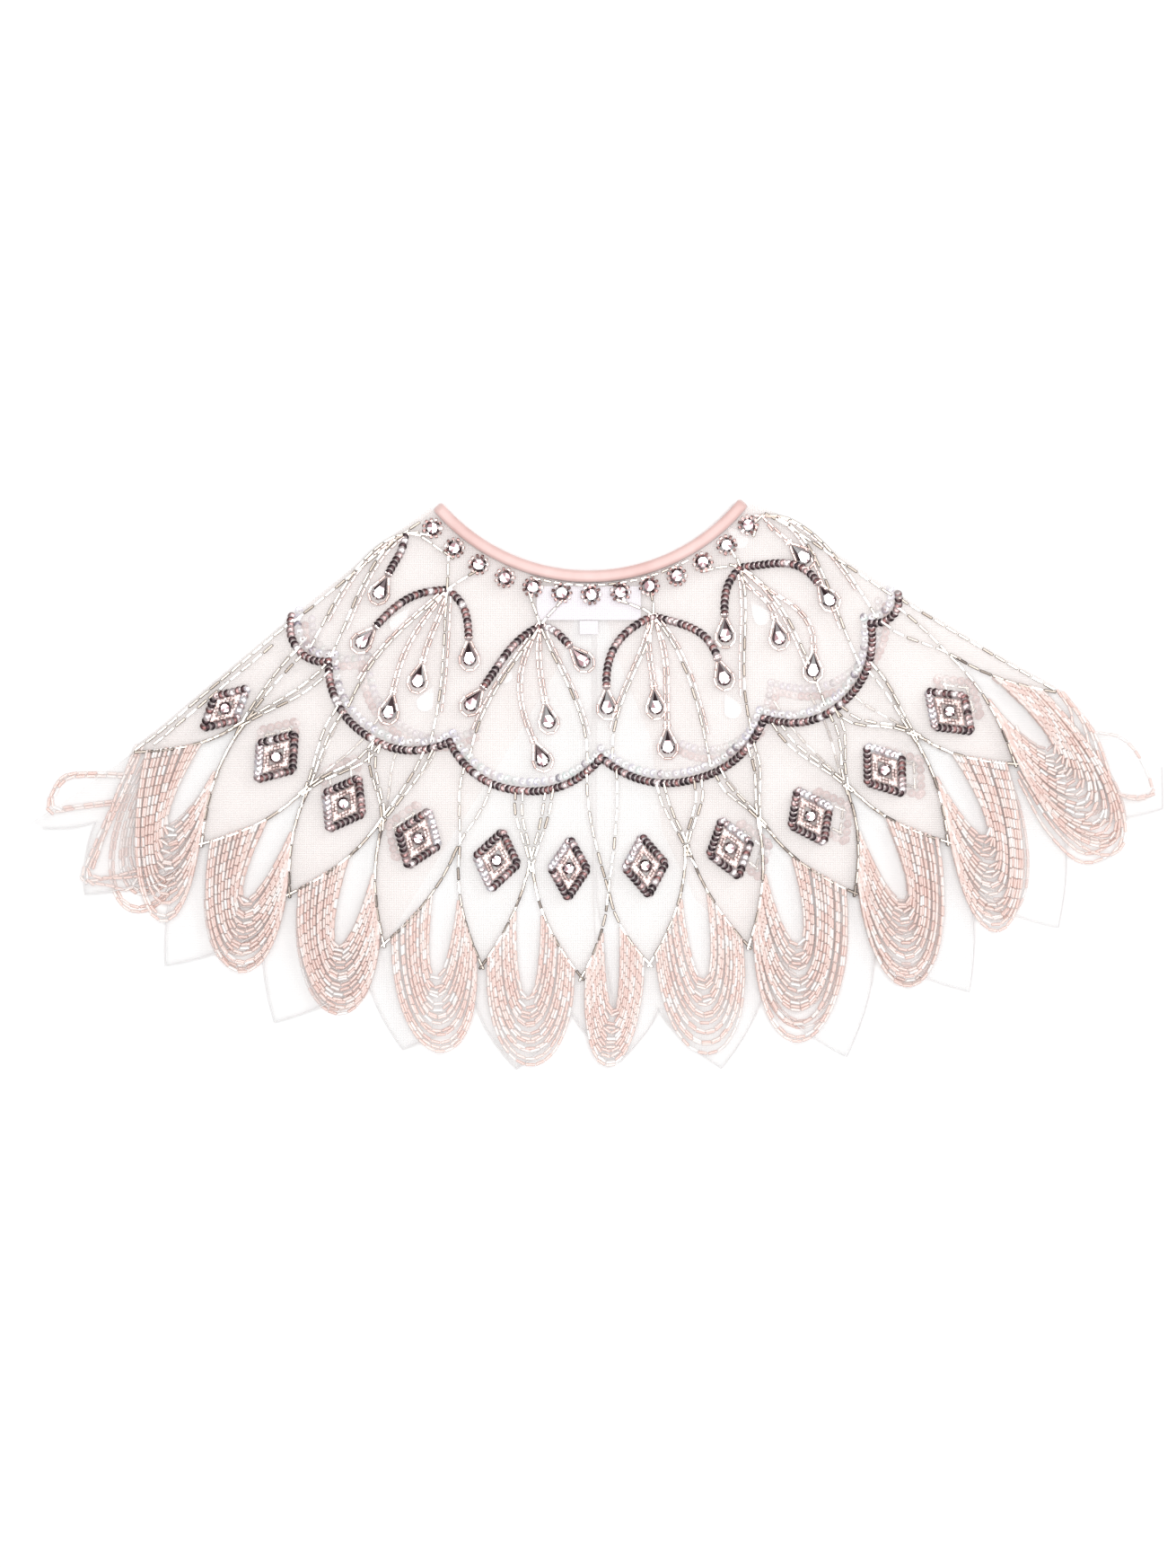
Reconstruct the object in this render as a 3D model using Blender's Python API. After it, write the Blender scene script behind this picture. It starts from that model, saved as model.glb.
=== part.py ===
"""Child's beaded net capelet, laid flat on its back with the front uppermost."""
import math
from collections import namedtuple

import bmesh
import bpy
from mathutils import Vector
from mathutils.geometry import delaunay_2d_cdt

# The flattened capelet is a sector of a cone. Places on it are an angle in degrees from the
# centre front, plus towards +X, and a radius in metres from the point of the cone.
CONE_POINT = (-0.0038, 0.1989)

# Heights of the layers
SEAM_GAP = 0.0003
NET_WALL = 0.0020
LINING_WALL = 0.0010
LABEL_WALL = 0.0008
BINDING_PROUD = 0.0003
NET_BACK_TOP = NET_WALL
LINING_BACK_LOW = NET_BACK_TOP + SEAM_GAP
LINING_BACK_TOP = LINING_BACK_LOW + LINING_WALL
LABEL_LOW = LINING_BACK_TOP + SEAM_GAP
LINING_FRONT_LOW = LABEL_LOW + LABEL_WALL + SEAM_GAP
LINING_FRONT_TOP = LINING_FRONT_LOW + LINING_WALL
NET_FRONT_LOW = LINING_FRONT_TOP + SEAM_GAP
NET_FRONT_TOP = NET_FRONT_LOW + NET_WALL

# How far each folded layer rolls out past the fold line, outside and inside the wall
NET_ROLL = (0.0036, 0.0018)
LINING_ROLL = (0.0014, 0.0005)
BINDING_ROLL = (0.0034, 0.0006)
ROLL_STEPS = 4

# Neck
BINDING_INNER_RADIUS = 0.0946
BINDING_OUTER_RADIUS = 0.1004
CLOTH_NECK_RADIUS = 0.1008
NECK_STEPS = 20
FOLD_STEPS = 7

# Hem petals: how full the curved edges are, and how many points each edge has
NET_FULLNESS = 1.6
LINING_FULLNESS = 1.35
EDGE_STEPS = 6

FoldRow = namedtuple("FoldRow", "radius left_angle right_angle")
SHOULDER_FOLDS = (
    FoldRow(0.0946, -50.0, 51.4),
    FoldRow(0.1008, -50.8, 53.4),
    FoldRow(0.1230, -51.4, 54.8),
    FoldRow(0.1844, -51.3, 55.2),
    FoldRow(0.2750, -50.9, 56.6),
    FoldRow(0.3370, -51.6, 56.5),
    FoldRow(0.3520, -51.9, 56.4),
)

# A petal's tip, and the notch to its right
PetalRow = namedtuple("PetalRow", "tip_angle tip_radius notch_angle notch_radius")
NET_PETALS = (
    PetalRow(-50.27, 0.2880, -45.0, 0.2386),
    PetalRow(-39.7, 0.2978, -34.4, 0.2432),
    PetalRow(-30.1, 0.2934, -25.0, 0.2380),
    PetalRow(-19.9, 0.2961, -15.5, 0.2383),
    PetalRow(-10.3, 0.2938, -6.8, 0.2387),
    PetalRow(-0.7, 0.2948, 2.2, 0.2540),
    PetalRow(5.9, 0.2897, 11.8, 0.2335),
    PetalRow(15.7, 0.2903, 21.1, 0.2304),
    PetalRow(27.3, 0.2851, 32.3, 0.2354),
    PetalRow(37.7, 0.2886, 42.3, 0.2343),
    PetalRow(47.8, 0.2828, 52.5, 0.2231),
    PetalRow(55.85, 0.2750, 55.85, 0.2750),
)
LINING_PETALS = (
    PetalRow(-51.0, 0.3510, -48.0, 0.3250),
    PetalRow(-44.3, 0.3542, -39.9, 0.3120),
    PetalRow(-35.8, 0.3555, -30.5, 0.3115),
    PetalRow(-26.0, 0.3519, -20.3, 0.3115),
    PetalRow(-15.5, 0.3419, -10.2, 0.3115),
    PetalRow(-6.0, 0.3410, -1.5, 0.3115),
    PetalRow(2.6, 0.3360, 6.3, 0.3110),
    PetalRow(10.9, 0.3450, 15.9, 0.3110),
    PetalRow(20.8, 0.3564, 26.6, 0.3110),
    PetalRow(31.8, 0.3545, 36.5, 0.3115),
    PetalRow(40.5, 0.3549, 47.0, 0.3150),
    PetalRow(53.1, 0.3523, 55.6, 0.3400),
)

# Edges of the two back halves at the centre back
OpeningRow = namedtuple("OpeningRow", "radius left_angle right_angle")
NET_OPENING = (
    OpeningRow(0.1008, -1.0, 2.0),
    OpeningRow(0.1400, -5.5, 6.0),
    OpeningRow(0.1800, -11.4, 9.8),
    OpeningRow(0.2250, -15.9, 9.2),
    OpeningRow(0.2620, -18.3, 11.6),
    OpeningRow(0.2961, -19.9, 15.7),
)
LINING_OPENING = (
    OpeningRow(0.1008, 1.2, 2.1),
    OpeningRow(0.1800, 0.6, 1.1),
    OpeningRow(0.2550, 0.5, 0.85),
    OpeningRow(0.3300, 0.9, 2.75),
)
NET_BACK_LEFT_PETALS = NET_PETALS[0:4]
NET_BACK_RIGHT_PETALS = NET_PETALS[7:12]

# Stones and diamonds raised on the front
NECK_STONE_COUNT = 13
NECK_STONE_ANGLES = (-46.0, 47.2)
NECK_STONE_RING = 0.1065
NECK_STONE_RADIUS = 0.0042
NECK_STONE_HEIGHT = 0.0018
STONE_SIDES = 8
TABLE_SHARE = 0.62
PEAR_LENGTH = 0.0140
PEAR_WIDTH = 0.0088
PEAR_HEIGHT = 0.0020
PEAR_STEPS = 4
PEAR_BELLY_HALF_ARC = 100.0
DIAMOND_RING = 0.2410
DIAMOND_LENGTH = 0.0310
DIAMOND_WIDTH = 0.0225
DIAMOND_HEIGHT = 0.0012
DIAMOND_RIDGE_SHARE = 0.86
DIAMOND_FIELD_SHARE = 0.74
DIAMOND_FIELD_LIFT = 0.0003
DIAMOND_STONE_RADIUS = 0.0042
DIAMOND_STONE_HEIGHT = 0.0024
DIAMOND_STONE_SIDES = 6
DIAMOND_STONE_LIFT = 0.0004

PearRow = namedtuple("PearRow", "angle radius")
PEAR_STONES = (
    PearRow(-44.5, 0.1450),
    PearRow(-40.6, 0.1685),
    PearRow(-29.6, 0.1685),
    PearRow(-31.1, 0.1890),
    PearRow(-23.4, 0.1476),
    PearRow(-19.6, 0.1680),
    PearRow(-1.8, 0.1373),
    PearRow(-6.9, 0.1676),
    PearRow(-7.3, 0.1868),
    PearRow(3.2, 0.1596),
    PearRow(11.6, 0.1626),
    PearRow(12.2, 0.1828),
    PearRow(24.3, 0.1593),
    PearRow(28.3, 0.1410),
    PearRow(50.2, 0.1351),
    PearRow(47.4, 0.1583),
    PearRow(36.5, 0.1560),
    PearRow(37.9, 0.1790),
)
DiamondRow = namedtuple("DiamondRow", "angle breadth")
DIAMONDS = (
    DiamondRow(-47.7, 0.75),
    DiamondRow(-39.5, 1.0),
    DiamondRow(-29.9, 1.0),
    DiamondRow(-20.3, 1.0),
    DiamondRow(-10.8, 1.0),
    DiamondRow(-2.3, 0.85),
    DiamondRow(6.6, 0.95),
    DiamondRow(16.7, 1.0),
    DiamondRow(26.8, 1.0),
    DiamondRow(37.0, 1.0),
    DiamondRow(47.2, 1.0),
)

# Fringe: how far the longest strand of each swag hangs below its ends and leans towards +X
SwagRow = namedtuple("SwagRow", "lean drop strands")
FRONT_SWAGS = (
    SwagRow(-0.012, 0.058, 5),
    SwagRow(-0.008, 0.050, 6),
    SwagRow(-0.004, 0.047, 7),
    SwagRow(0.001, 0.051, 7),
    SwagRow(-0.002, 0.048, 7),
    SwagRow(-0.003, 0.049, 5),
    SwagRow(0.005, 0.050, 7),
    SwagRow(0.003, 0.060, 7),
    SwagRow(0.008, 0.062, 6),
    SwagRow(0.012, 0.064, 5),
    SwagRow(0.030, 0.062, 4),
)
BACK_LEFT_SWAGS = (
    SwagRow(-0.024, 0.058, 4),
    SwagRow(-0.010, 0.052, 5),
    SwagRow(-0.006, 0.050, 5),
)
BACK_RIGHT_SWAGS = (
    SwagRow(0.006, 0.056, 5),
    SwagRow(0.008, 0.060, 5),
    SwagRow(0.014, 0.058, 4),
    SwagRow(0.026, 0.052, 3),
)
STRAND_WIDTH = 0.0014
STRAND_HEIGHT = 0.0016
ROOT_WIDTH = 0.0024
FRONT_STRAND_STEPS = 9
BACK_STRAND_STEPS = 7
STRIP_WIDTH = 0.0012
# Shares of the way from notch to tip where the first and last strand of a swag are tied
TIED_FROM = 0.93
TIED_TO = 0.50
INNER_DROP = 0.038
INNER_SWING = 0.57
FLOOR_CLEARANCE = 0.0001

# Label under the binding at the centre back
LABEL_SIZE = (0.0510, 0.0165)
LABEL_CENTRE = (0.0, 0.1105)
TAB_SIZE = (0.0090, 0.0065)
TAB_CENTRE = (-0.0030, 0.1225)

# Surfaces
NET_COLOUR = (0.90, 0.80, 0.76)
NET_ROUGHNESS = 0.55
LINING_COLOUR = (0.93, 0.92, 0.92)
LINING_ROUGHNESS = 0.6
SATIN_COLOUR = (0.86, 0.64, 0.60)
SATIN_ROUGHNESS = 0.35
LABEL_COLOUR = (0.95, 0.93, 0.90)
LABEL_ROUGHNESS = 0.5
BEAD_COLOUR = (0.90, 0.70, 0.65)
BEAD_ROUGHNESS = 0.3

# Smallest differences that the outlines are worked out to
FILL_TOLERANCE = 1e-7
HEM_MARGIN = 0.01
STEP_AHEAD = 0.01


def polar(angle, radius):
    """Plan place of an angle and a radius about the cone's point."""
    turn = math.radians(angle)
    return Vector((CONE_POINT[0] + radius * math.sin(turn), CONE_POINT[1] - radius * math.cos(turn)))


def read_angle(rows, radius, column):
    """Angle in a column of a short table at a radius, straight between its rows."""
    for low, high in zip(rows, rows[1:]):
        if radius <= high.radius:
            break
    share = (radius - low.radius) / (high.radius - low.radius)
    return getattr(low, column) + share * (getattr(high, column) - getattr(low, column))


def fold_line(side, start_radius, end_radius, steps):
    """Fold line from hem to neck, set in from the silhouette by the roll of the cloth."""
    column = "left_angle" if side < 0 else "right_angle"
    points = []
    for step in range(steps + 1):
        radius = start_radius + (end_radius - start_radius) * step / steps
        angle = read_angle(SHOULDER_FOLDS, radius, column)
        points.append(polar(angle - side * math.degrees(NET_ROLL[0] / radius), radius))
    return points


def petal_edge(tip, notch, share, fullness):
    """Angle and radius on a petal's curved edge, at a share of the way from notch to tip."""
    angle = tip[0] + (notch[0] - tip[0]) * (1.0 - share ** fullness)
    radius = notch[1] + (tip[1] - notch[1]) * share
    return angle, radius


def hem_samples(petals, fullness):
    """Angles and radii along a hem, from its left tip to its right tip."""
    samples = []
    for row, following in zip(petals, petals[1:]):
        tip = (row.tip_angle, row.tip_radius)
        notch = (row.notch_angle, row.notch_radius)
        next_tip = (following.tip_angle, following.tip_radius)
        for step in range(EDGE_STEPS):
            samples.append(petal_edge(tip, notch, 1.0 - step / EDGE_STEPS, fullness))
        for step in range(EDGE_STEPS):
            samples.append(petal_edge(next_tip, notch, step / EDGE_STEPS, fullness))
    last = petals[-1]
    samples.append((last.tip_angle, last.tip_radius))
    if last.notch_angle > last.tip_angle:
        samples.append((last.notch_angle, last.notch_radius))
    return samples


def clip(samples, start_angle, stop_angle):
    """The part of a hem between two angles, with a point worked out at each of them."""
    kept = []
    for here, after in zip(samples, samples[1:]):
        for bound in (start_angle, stop_angle):
            if here[0] < bound < after[0]:
                share = (bound - here[0]) / (after[0] - here[0])
                kept.append((bound, here[1] + share * (after[1] - here[1])))
        if start_angle < after[0] < stop_angle:
            kept.append(after)
    return sorted(kept)


def neck_arc(left_angle, right_angle, radius, steps):
    """Points inside the neck arc from right to left, without its ends."""
    points = []
    for step in range(1, steps):
        angle = right_angle + (left_angle - right_angle) * step / steps
        points.append(polar(angle, radius))
    return points


Panel = namedtuple("Panel", "points right_run left_run")


def panel(hem, right, neck, left):
    """One loop, anticlockwise from above. Both sides are listed from hem to neck with their ends."""
    points = hem[1:-1] + right + neck + left[::-1]
    first_right = len(hem) - 2
    right_run = [first_right + step for step in range(len(right))]
    left_run = [len(points) - 1 - step for step in range(len(left))]
    return Panel(points, right_run, left_run)


def opening_edge(rows, column, hem_point, hem_radius):
    """A centre back edge from its place on the hem up to the neck."""
    edge = [hem_point]
    for row in reversed(rows):
        if row.radius < hem_radius - HEM_MARGIN:
            edge.append(polar(getattr(row, column), row.radius))
    return edge


def fill(points, rings):
    """Triangles of a flat outline that keep every raised ring inside it as edges."""
    places = [Vector(point) for point in points]
    edges = [(index, (index + 1) % len(points)) for index in range(len(points))]
    for ring in rings:
        first = len(places)
        places.extend(ring)
        edges.extend((first + index, first + (index + 1) % len(ring)) for index in range(len(ring)))
    found = delaunay_2d_cdt(places, edges, [], 1, FILL_TOLERANCE)
    source = [origin[0] for origin in found[3]]
    return [[source[index] for index in face] for face in found[2]]


def lay_face(mesh, outline, height, rings=()):
    """Vertices of one face of a wall and its triangles; rings are pairs of points and lift."""
    verts = [mesh.verts.new((point.x, point.y, height)) for point in outline]
    for ring, lift in rings:
        verts.extend(mesh.verts.new((point.x, point.y, height + lift)) for point in ring)
    for face in fill(outline, [ring for ring, lift in rings]):
        mesh.faces.new([verts[index] for index in face])
    return verts[:len(outline)]


def roll_arc(mesh, along, place, low, high, reach):
    """Points round a shoulder fold from the upper height to the lower one."""
    middle = (low + high) / 2
    half = (high - low) / 2
    verts = []
    for step in range(1, ROLL_STEPS):
        turn = math.pi * step / ROLL_STEPS
        outward = place + along * reach * math.sin(turn)
        verts.append(mesh.verts.new((outward.x, outward.y, middle + half * math.cos(turn))))
    return verts


def join_fold(mesh, front, back, heights, roll, side):
    """The rolled edge that joins the front to a back half along a shoulder fold."""
    front_outer, front_inner, front_run, outline = front
    back_outer, back_inner, back_run = back
    back_low, back_high, front_low, front_high = heights
    outer_rows = []
    inner_rows = []
    places = [outline[index] for index in front_run]
    for step, place in enumerate(places):
        before = places[max(step - 1, 0)]
        after = places[min(step + 1, len(places) - 1)]
        run = (after - before).normalized()
        outward = Vector((run.y, -run.x)) * side
        outer = roll_arc(mesh, outward, place, back_low, front_high, roll[0])
        inner = roll_arc(mesh, outward, place, back_high, front_low, roll[1])
        outer_rows.append([front_outer[front_run[step]], *outer, back_outer[back_run[step]]])
        inner_rows.append([front_inner[front_run[step]], *inner, back_inner[back_run[step]]])
    for rows in (outer_rows, inner_rows):
        for row, following in zip(rows, rows[1:]):
            for step in range(ROLL_STEPS):
                mesh.faces.new((row[step], row[step + 1], following[step + 1], following[step]))
    for end in (0, -1):
        outer, inner = outer_rows[end], inner_rows[end]
        for step in range(ROLL_STEPS):
            mesh.faces.new((outer[step], outer[step + 1], inner[step + 1], inner[step]))


def close_edges(mesh, outer, inner, folded):
    """Walls along an outline, left open where the cloth rolls over a fold."""
    count = len(outer)
    for index in range(count):
        following = (index + 1) % count
        if frozenset((index, following)) not in folded:
            mesh.faces.new((outer[index], outer[following], inner[following], inner[index]))


def run_edges(run):
    """The outline edges of a run of neighbouring points."""
    return {frozenset(pair) for pair in zip(run, run[1:])}


def folded_cloth(name, front, back_left, back_right, heights, roll, rings=()):
    """One closed wall: a front, two back halves and the two shoulder folds between them."""
    back_low, back_high, front_low, front_high = heights
    mesh = bmesh.new()
    front_outer = lay_face(mesh, front.points, front_high, rings)
    front_inner = lay_face(mesh, front.points, front_low)
    close_edges(mesh, front_outer, front_inner, run_edges(front.right_run) | run_edges(front.left_run))
    for half, run, front_run, side in (
        (back_left, back_left.left_run, front.left_run, -1),
        (back_right, back_right.right_run, front.right_run, 1),
    ):
        back_outer = lay_face(mesh, half.points, back_low)
        back_inner = lay_face(mesh, half.points, back_high)
        close_edges(mesh, back_outer, back_inner, run_edges(run))
        join_fold(mesh, (front_outer, front_inner, front_run, front.points),
                  (back_outer, back_inner, run), heights, roll, side)
    return finish_mesh(name, mesh)


def finish_mesh(name, mesh):
    """Turn a finished mesh into an object of the scene with its faces outwards."""
    bmesh.ops.recalc_face_normals(mesh, faces=mesh.faces)
    if mesh.calc_volume(signed=True) < 0.0:
        bmesh.ops.reverse_faces(mesh, faces=mesh.faces)
    data = bpy.data.meshes.new(name)
    mesh.to_mesh(data)
    mesh.free()
    piece = bpy.data.objects.new(name, data)
    bpy.context.collection.objects.link(piece)
    return piece


def finish(piece, colour, roughness):
    """Give a piece its own surface."""
    material = bpy.data.materials.new(piece.name + "_surface")
    material.use_nodes = True
    shader = material.node_tree.nodes["Principled BSDF"]
    shader.inputs["Base Color"].default_value = (*colour, 1.0)
    shader.inputs["Roughness"].default_value = roughness
    piece.data.materials.append(material)


def round_ring(centre, radius, sides):
    """Corners of a round stone's outline."""
    return [
        centre + Vector((math.cos(math.tau * side / sides), math.sin(math.tau * side / sides))) * radius
        for side in range(sides)
    ]


def round_stone(centre, radius, height):
    """Rings of a faceted round stone: its girdle and its table."""
    return [(round_ring(centre, radius, STONE_SIDES), 0.0),
            (round_ring(centre, radius * TABLE_SHARE, STONE_SIDES), height)]


def pear_ring(centre, outward, length, width):
    """Outline of a pear stone whose point looks back up to the neck."""
    across = Vector((-outward.y, outward.x))
    belly = centre + outward * (length / 2 - width / 2)
    ring = [centre - outward * (length / 2)]
    for step in range(PEAR_STEPS + 1):
        turn = math.radians(PEAR_BELLY_HALF_ARC * (2 * step / PEAR_STEPS - 1))
        ring.append(belly + (outward * math.cos(turn) + across * math.sin(turn)) * (width / 2))
    return ring


def pear_stone(angle, radius):
    """Rings of a pear stone: its girdle and its table."""
    centre = polar(angle, radius)
    outward = (centre - Vector(CONE_POINT)).normalized()
    return [(pear_ring(centre, outward, PEAR_LENGTH, PEAR_WIDTH), 0.0),
            (pear_ring(centre, outward, PEAR_LENGTH * TABLE_SHARE, PEAR_WIDTH * TABLE_SHARE), PEAR_HEIGHT)]


def diamond_ring(centre, outward, breadth, size):
    """Four corners of a diamond, long in the direction of the petal."""
    across = Vector((-outward.y, outward.x))
    long_half = outward * (DIAMOND_LENGTH / 2 * size)
    short_half = across * (DIAMOND_WIDTH / 2 * breadth * size)
    return [centre + long_half, centre + short_half, centre - long_half, centre - short_half]


def diamond(row):
    """Rings of a petal's diamond: a raised sequin border round a faceted stone."""
    centre = polar(row.angle, DIAMOND_RING)
    outward = (centre - Vector(CONE_POINT)).normalized()
    rings = [(diamond_ring(centre, outward, row.breadth, 1.0), 0.0),
             (diamond_ring(centre, outward, row.breadth, DIAMOND_RIDGE_SHARE), DIAMOND_HEIGHT),
             (diamond_ring(centre, outward, row.breadth, DIAMOND_FIELD_SHARE), DIAMOND_FIELD_LIFT)]
    girdle = round_ring(centre, DIAMOND_STONE_RADIUS, DIAMOND_STONE_SIDES)
    table = round_ring(centre, DIAMOND_STONE_RADIUS * TABLE_SHARE, DIAMOND_STONE_SIDES)
    return rings + [(girdle, DIAMOND_STONE_LIFT), (table, DIAMOND_STONE_HEIGHT)]


def stone_rings():
    """Every raised ring of the front."""
    rings = []
    for index in range(NECK_STONE_COUNT):
        share = index / (NECK_STONE_COUNT - 1)
        angle = NECK_STONE_ANGLES[0] + share * (NECK_STONE_ANGLES[1] - NECK_STONE_ANGLES[0])
        rings += round_stone(polar(angle, NECK_STONE_RING), NECK_STONE_RADIUS, NECK_STONE_HEIGHT)
    for row in PEAR_STONES:
        rings += pear_stone(row.angle, row.radius)
    for row in DIAMONDS:
        rings += diamond(row)
    return rings


def cloth_panels(petals, fullness, back_left_hem, back_right_hem, opening):
    """Front and two back halves of one cloth, sharing their fold lines."""
    samples = hem_samples(petals, fullness)
    left_fold = fold_line(-1, samples[0][1], CLOTH_NECK_RADIUS, FOLD_STEPS)
    right_fold = fold_line(1, samples[-1][1], CLOTH_NECK_RADIUS, FOLD_STEPS)
    hem = [left_fold[0]] + [polar(*place) for place in samples[1:-1]] + [right_fold[0]]
    corner = read_angle(SHOULDER_FOLDS, CLOTH_NECK_RADIUS, "left_angle")
    far_corner = read_angle(SHOULDER_FOLDS, CLOTH_NECK_RADIUS, "right_angle")
    inset = math.degrees(NET_ROLL[0] / CLOTH_NECK_RADIUS)
    corner += inset
    far_corner -= inset
    front = panel(hem, right_fold, neck_arc(corner, far_corner, CLOTH_NECK_RADIUS, NECK_STEPS), left_fold)
    left_end = back_left_hem[-1]
    left_edge = opening_edge(opening, "left_angle", polar(*left_end), left_end[1])
    left_neck = neck_arc(corner, opening[0].left_angle, CLOTH_NECK_RADIUS, NECK_STEPS // 2)
    left_hem = [left_fold[0]] + [polar(*place) for place in back_left_hem[1:-1]] + [left_edge[0]]
    back_left = panel(left_hem, left_edge, left_neck, left_fold)
    right_end = back_right_hem[0]
    right_edge = opening_edge(opening, "right_angle", polar(*right_end), right_end[1])
    right_neck = neck_arc(opening[0].right_angle, far_corner, CLOTH_NECK_RADIUS, NECK_STEPS // 2)
    right_hem = [right_edge[0]] + [polar(*place) for place in back_right_hem[1:-1]] + [right_fold[0]]
    back_right = panel(right_hem, right_fold, right_neck, right_edge)
    return front, back_left, back_right


def make_overlay():
    """Beaded net: front, shoulder folds and two back halves."""
    panels = cloth_panels(NET_PETALS, NET_FULLNESS,
                          hem_samples(NET_BACK_LEFT_PETALS, NET_FULLNESS)[:-1],
                          hem_samples(NET_BACK_RIGHT_PETALS, NET_FULLNESS), NET_OPENING)
    heights = (0.0, NET_BACK_TOP, NET_FRONT_LOW, NET_FRONT_TOP)
    overlay = folded_cloth("overlay", *panels, heights, NET_ROLL, stone_rings())
    finish(overlay, NET_COLOUR, NET_ROUGHNESS)


def make_lining():
    """Sheer lining of the same cut, longer and with its petals staggered."""
    samples = hem_samples(LINING_PETALS, LINING_FULLNESS)
    split = LINING_OPENING[-1]
    panels = cloth_panels(LINING_PETALS, LINING_FULLNESS,
                          [samples[0]] + clip(samples, samples[0][0], split.left_angle),
                          clip(samples, split.right_angle, samples[-1][0]) + [samples[-1]], LINING_OPENING)
    heights = (LINING_BACK_LOW, LINING_BACK_TOP, LINING_FRONT_LOW, LINING_FRONT_TOP)
    finish(folded_cloth("lining", *panels, heights, LINING_ROLL), LINING_COLOUR, LINING_ROUGHNESS)


def arc_strip(left_points, right_points, left_angle, right_angle, steps):
    """A stretch of the binding between two ends, each listed from its outer to its inner side."""
    outer = [polar(left_angle + (right_angle - left_angle) * step / steps, BINDING_OUTER_RADIUS)
             for step in range(1, steps)]
    inner = neck_arc(left_angle, right_angle, BINDING_INNER_RADIUS, steps)
    return panel([left_points[0]] + outer + [right_points[0]], right_points, inner, left_points)


def make_binding():
    """Satin neck binding, folded at both shoulders and open at the centre back."""
    left_fold = fold_line(-1, BINDING_OUTER_RADIUS, BINDING_INNER_RADIUS, 1)
    right_fold = fold_line(1, BINDING_OUTER_RADIUS, BINDING_INNER_RADIUS, 1)
    inset = math.degrees(NET_ROLL[0] / BINDING_INNER_RADIUS)
    left = SHOULDER_FOLDS[0].left_angle + inset
    right = SHOULDER_FOLDS[0].right_angle - inset
    split = LINING_OPENING[0]
    across = (BINDING_OUTER_RADIUS, BINDING_INNER_RADIUS)
    left_end = [polar(split.left_angle, radius) for radius in across]
    right_end = [polar(split.right_angle, radius) for radius in across]
    front = arc_strip(left_fold, right_fold, left, right, NECK_STEPS)
    back_left = arc_strip(left_fold, left_end, left, split.left_angle, NECK_STEPS // 2)
    back_right = arc_strip(right_end, right_fold, split.right_angle, right, NECK_STEPS // 2)
    heights = (0.0, LINING_BACK_TOP, LINING_FRONT_LOW, NET_FRONT_TOP + BINDING_PROUD)
    binding = folded_cloth("neck_binding", front, back_left, back_right, heights, BINDING_ROLL)
    finish(binding, SATIN_COLOUR, SATIN_ROUGHNESS)


def make_plate(name, size, centre):
    """A small flat label lying between the two linings."""
    middle = polar(*centre)
    half_width, half_height = size[0] / 2, size[1] / 2
    outline = [middle + Vector(corner) for corner in (
        (-half_width, -half_height), (half_width, -half_height),
        (half_width, half_height), (-half_width, half_height))]
    mesh = bmesh.new()
    low = lay_face(mesh, outline, LABEL_LOW)
    high = lay_face(mesh, outline, LABEL_LOW + LABEL_WALL)
    close_edges(mesh, high, low, set())
    finish(finish_mesh(name, mesh), LABEL_COLOUR, LABEL_ROUGHNESS)


Leg = namedtuple("Leg", "tip notch side")


def leg_frame(leg, share):
    """Place on a petal's edge, the way along it to the tip, and the way out into the notch."""
    here = polar(*petal_edge(leg.tip, leg.notch, share, NET_FULLNESS))
    ahead = polar(*petal_edge(leg.tip, leg.notch, share + STEP_AHEAD, NET_FULLNESS))
    along = (ahead - here).normalized()
    return here, along, Vector((-along.y, along.x)) * leg.side


def leg_place(leg, share, shift):
    """Plan place beside a petal's edge."""
    here, along, out = leg_frame(leg, share)
    return here + out * shift


def backing_strip(mesh, leg, tied, root_half, low, high):
    """A narrow strip beside a petal's edge; returns the open triangles that strands grow from."""
    near = SEAM_GAP
    far = SEAM_GAP + STRIP_WIDTH
    first = tied[0] + 2 * root_half
    last = tied[-1] - 2 * root_half
    low_shares = [first]
    for share in tied:
        low_shares += [share + root_half, share - root_half]
    low_shares.append(last)
    high_shares = [first, *tied, last]

    def rail(shares, shift, height):
        points = [leg_place(leg, share, shift) for share in shares]
        return [mesh.verts.new((point.x, point.y, height)) for point in points]

    far_low = rail(low_shares, far, low)
    far_high = rail(high_shares, far, high)
    near_low = rail(high_shares, near, low)
    near_high = rail(high_shares, near, high)
    mesh.faces.new(far_low + near_low[::-1])
    mesh.faces.new(far_high + near_high[::-1])
    for index in range(len(tied) + 1):
        mesh.faces.new((near_low[index], near_low[index + 1], near_high[index + 1], near_high[index]))
    mesh.faces.new((far_low[0], near_low[0], near_high[0], far_high[0]))
    mesh.faces.new((far_low[-1], near_low[-1], near_high[-1], far_high[-1]))
    for index in range(len(tied) + 1):
        mesh.faces.new((far_low[2 * index], far_low[2 * index + 1], far_high[index + 1], far_high[index]))
    return [(far_low[2 * index + 1], far_low[2 * index + 2], far_high[index + 1])
            for index in range(len(tied))]


def swag_curve(start, end, droop, way):
    """Plan place along a strand that hangs between two ends."""
    back = 1 - way
    reach = droop * (4 / 3)
    return (start * back ** 3 + (start + reach) * (3 * back ** 2 * way)
            + (end + reach) * (3 * back * way ** 2) + end * way ** 3)


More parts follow.
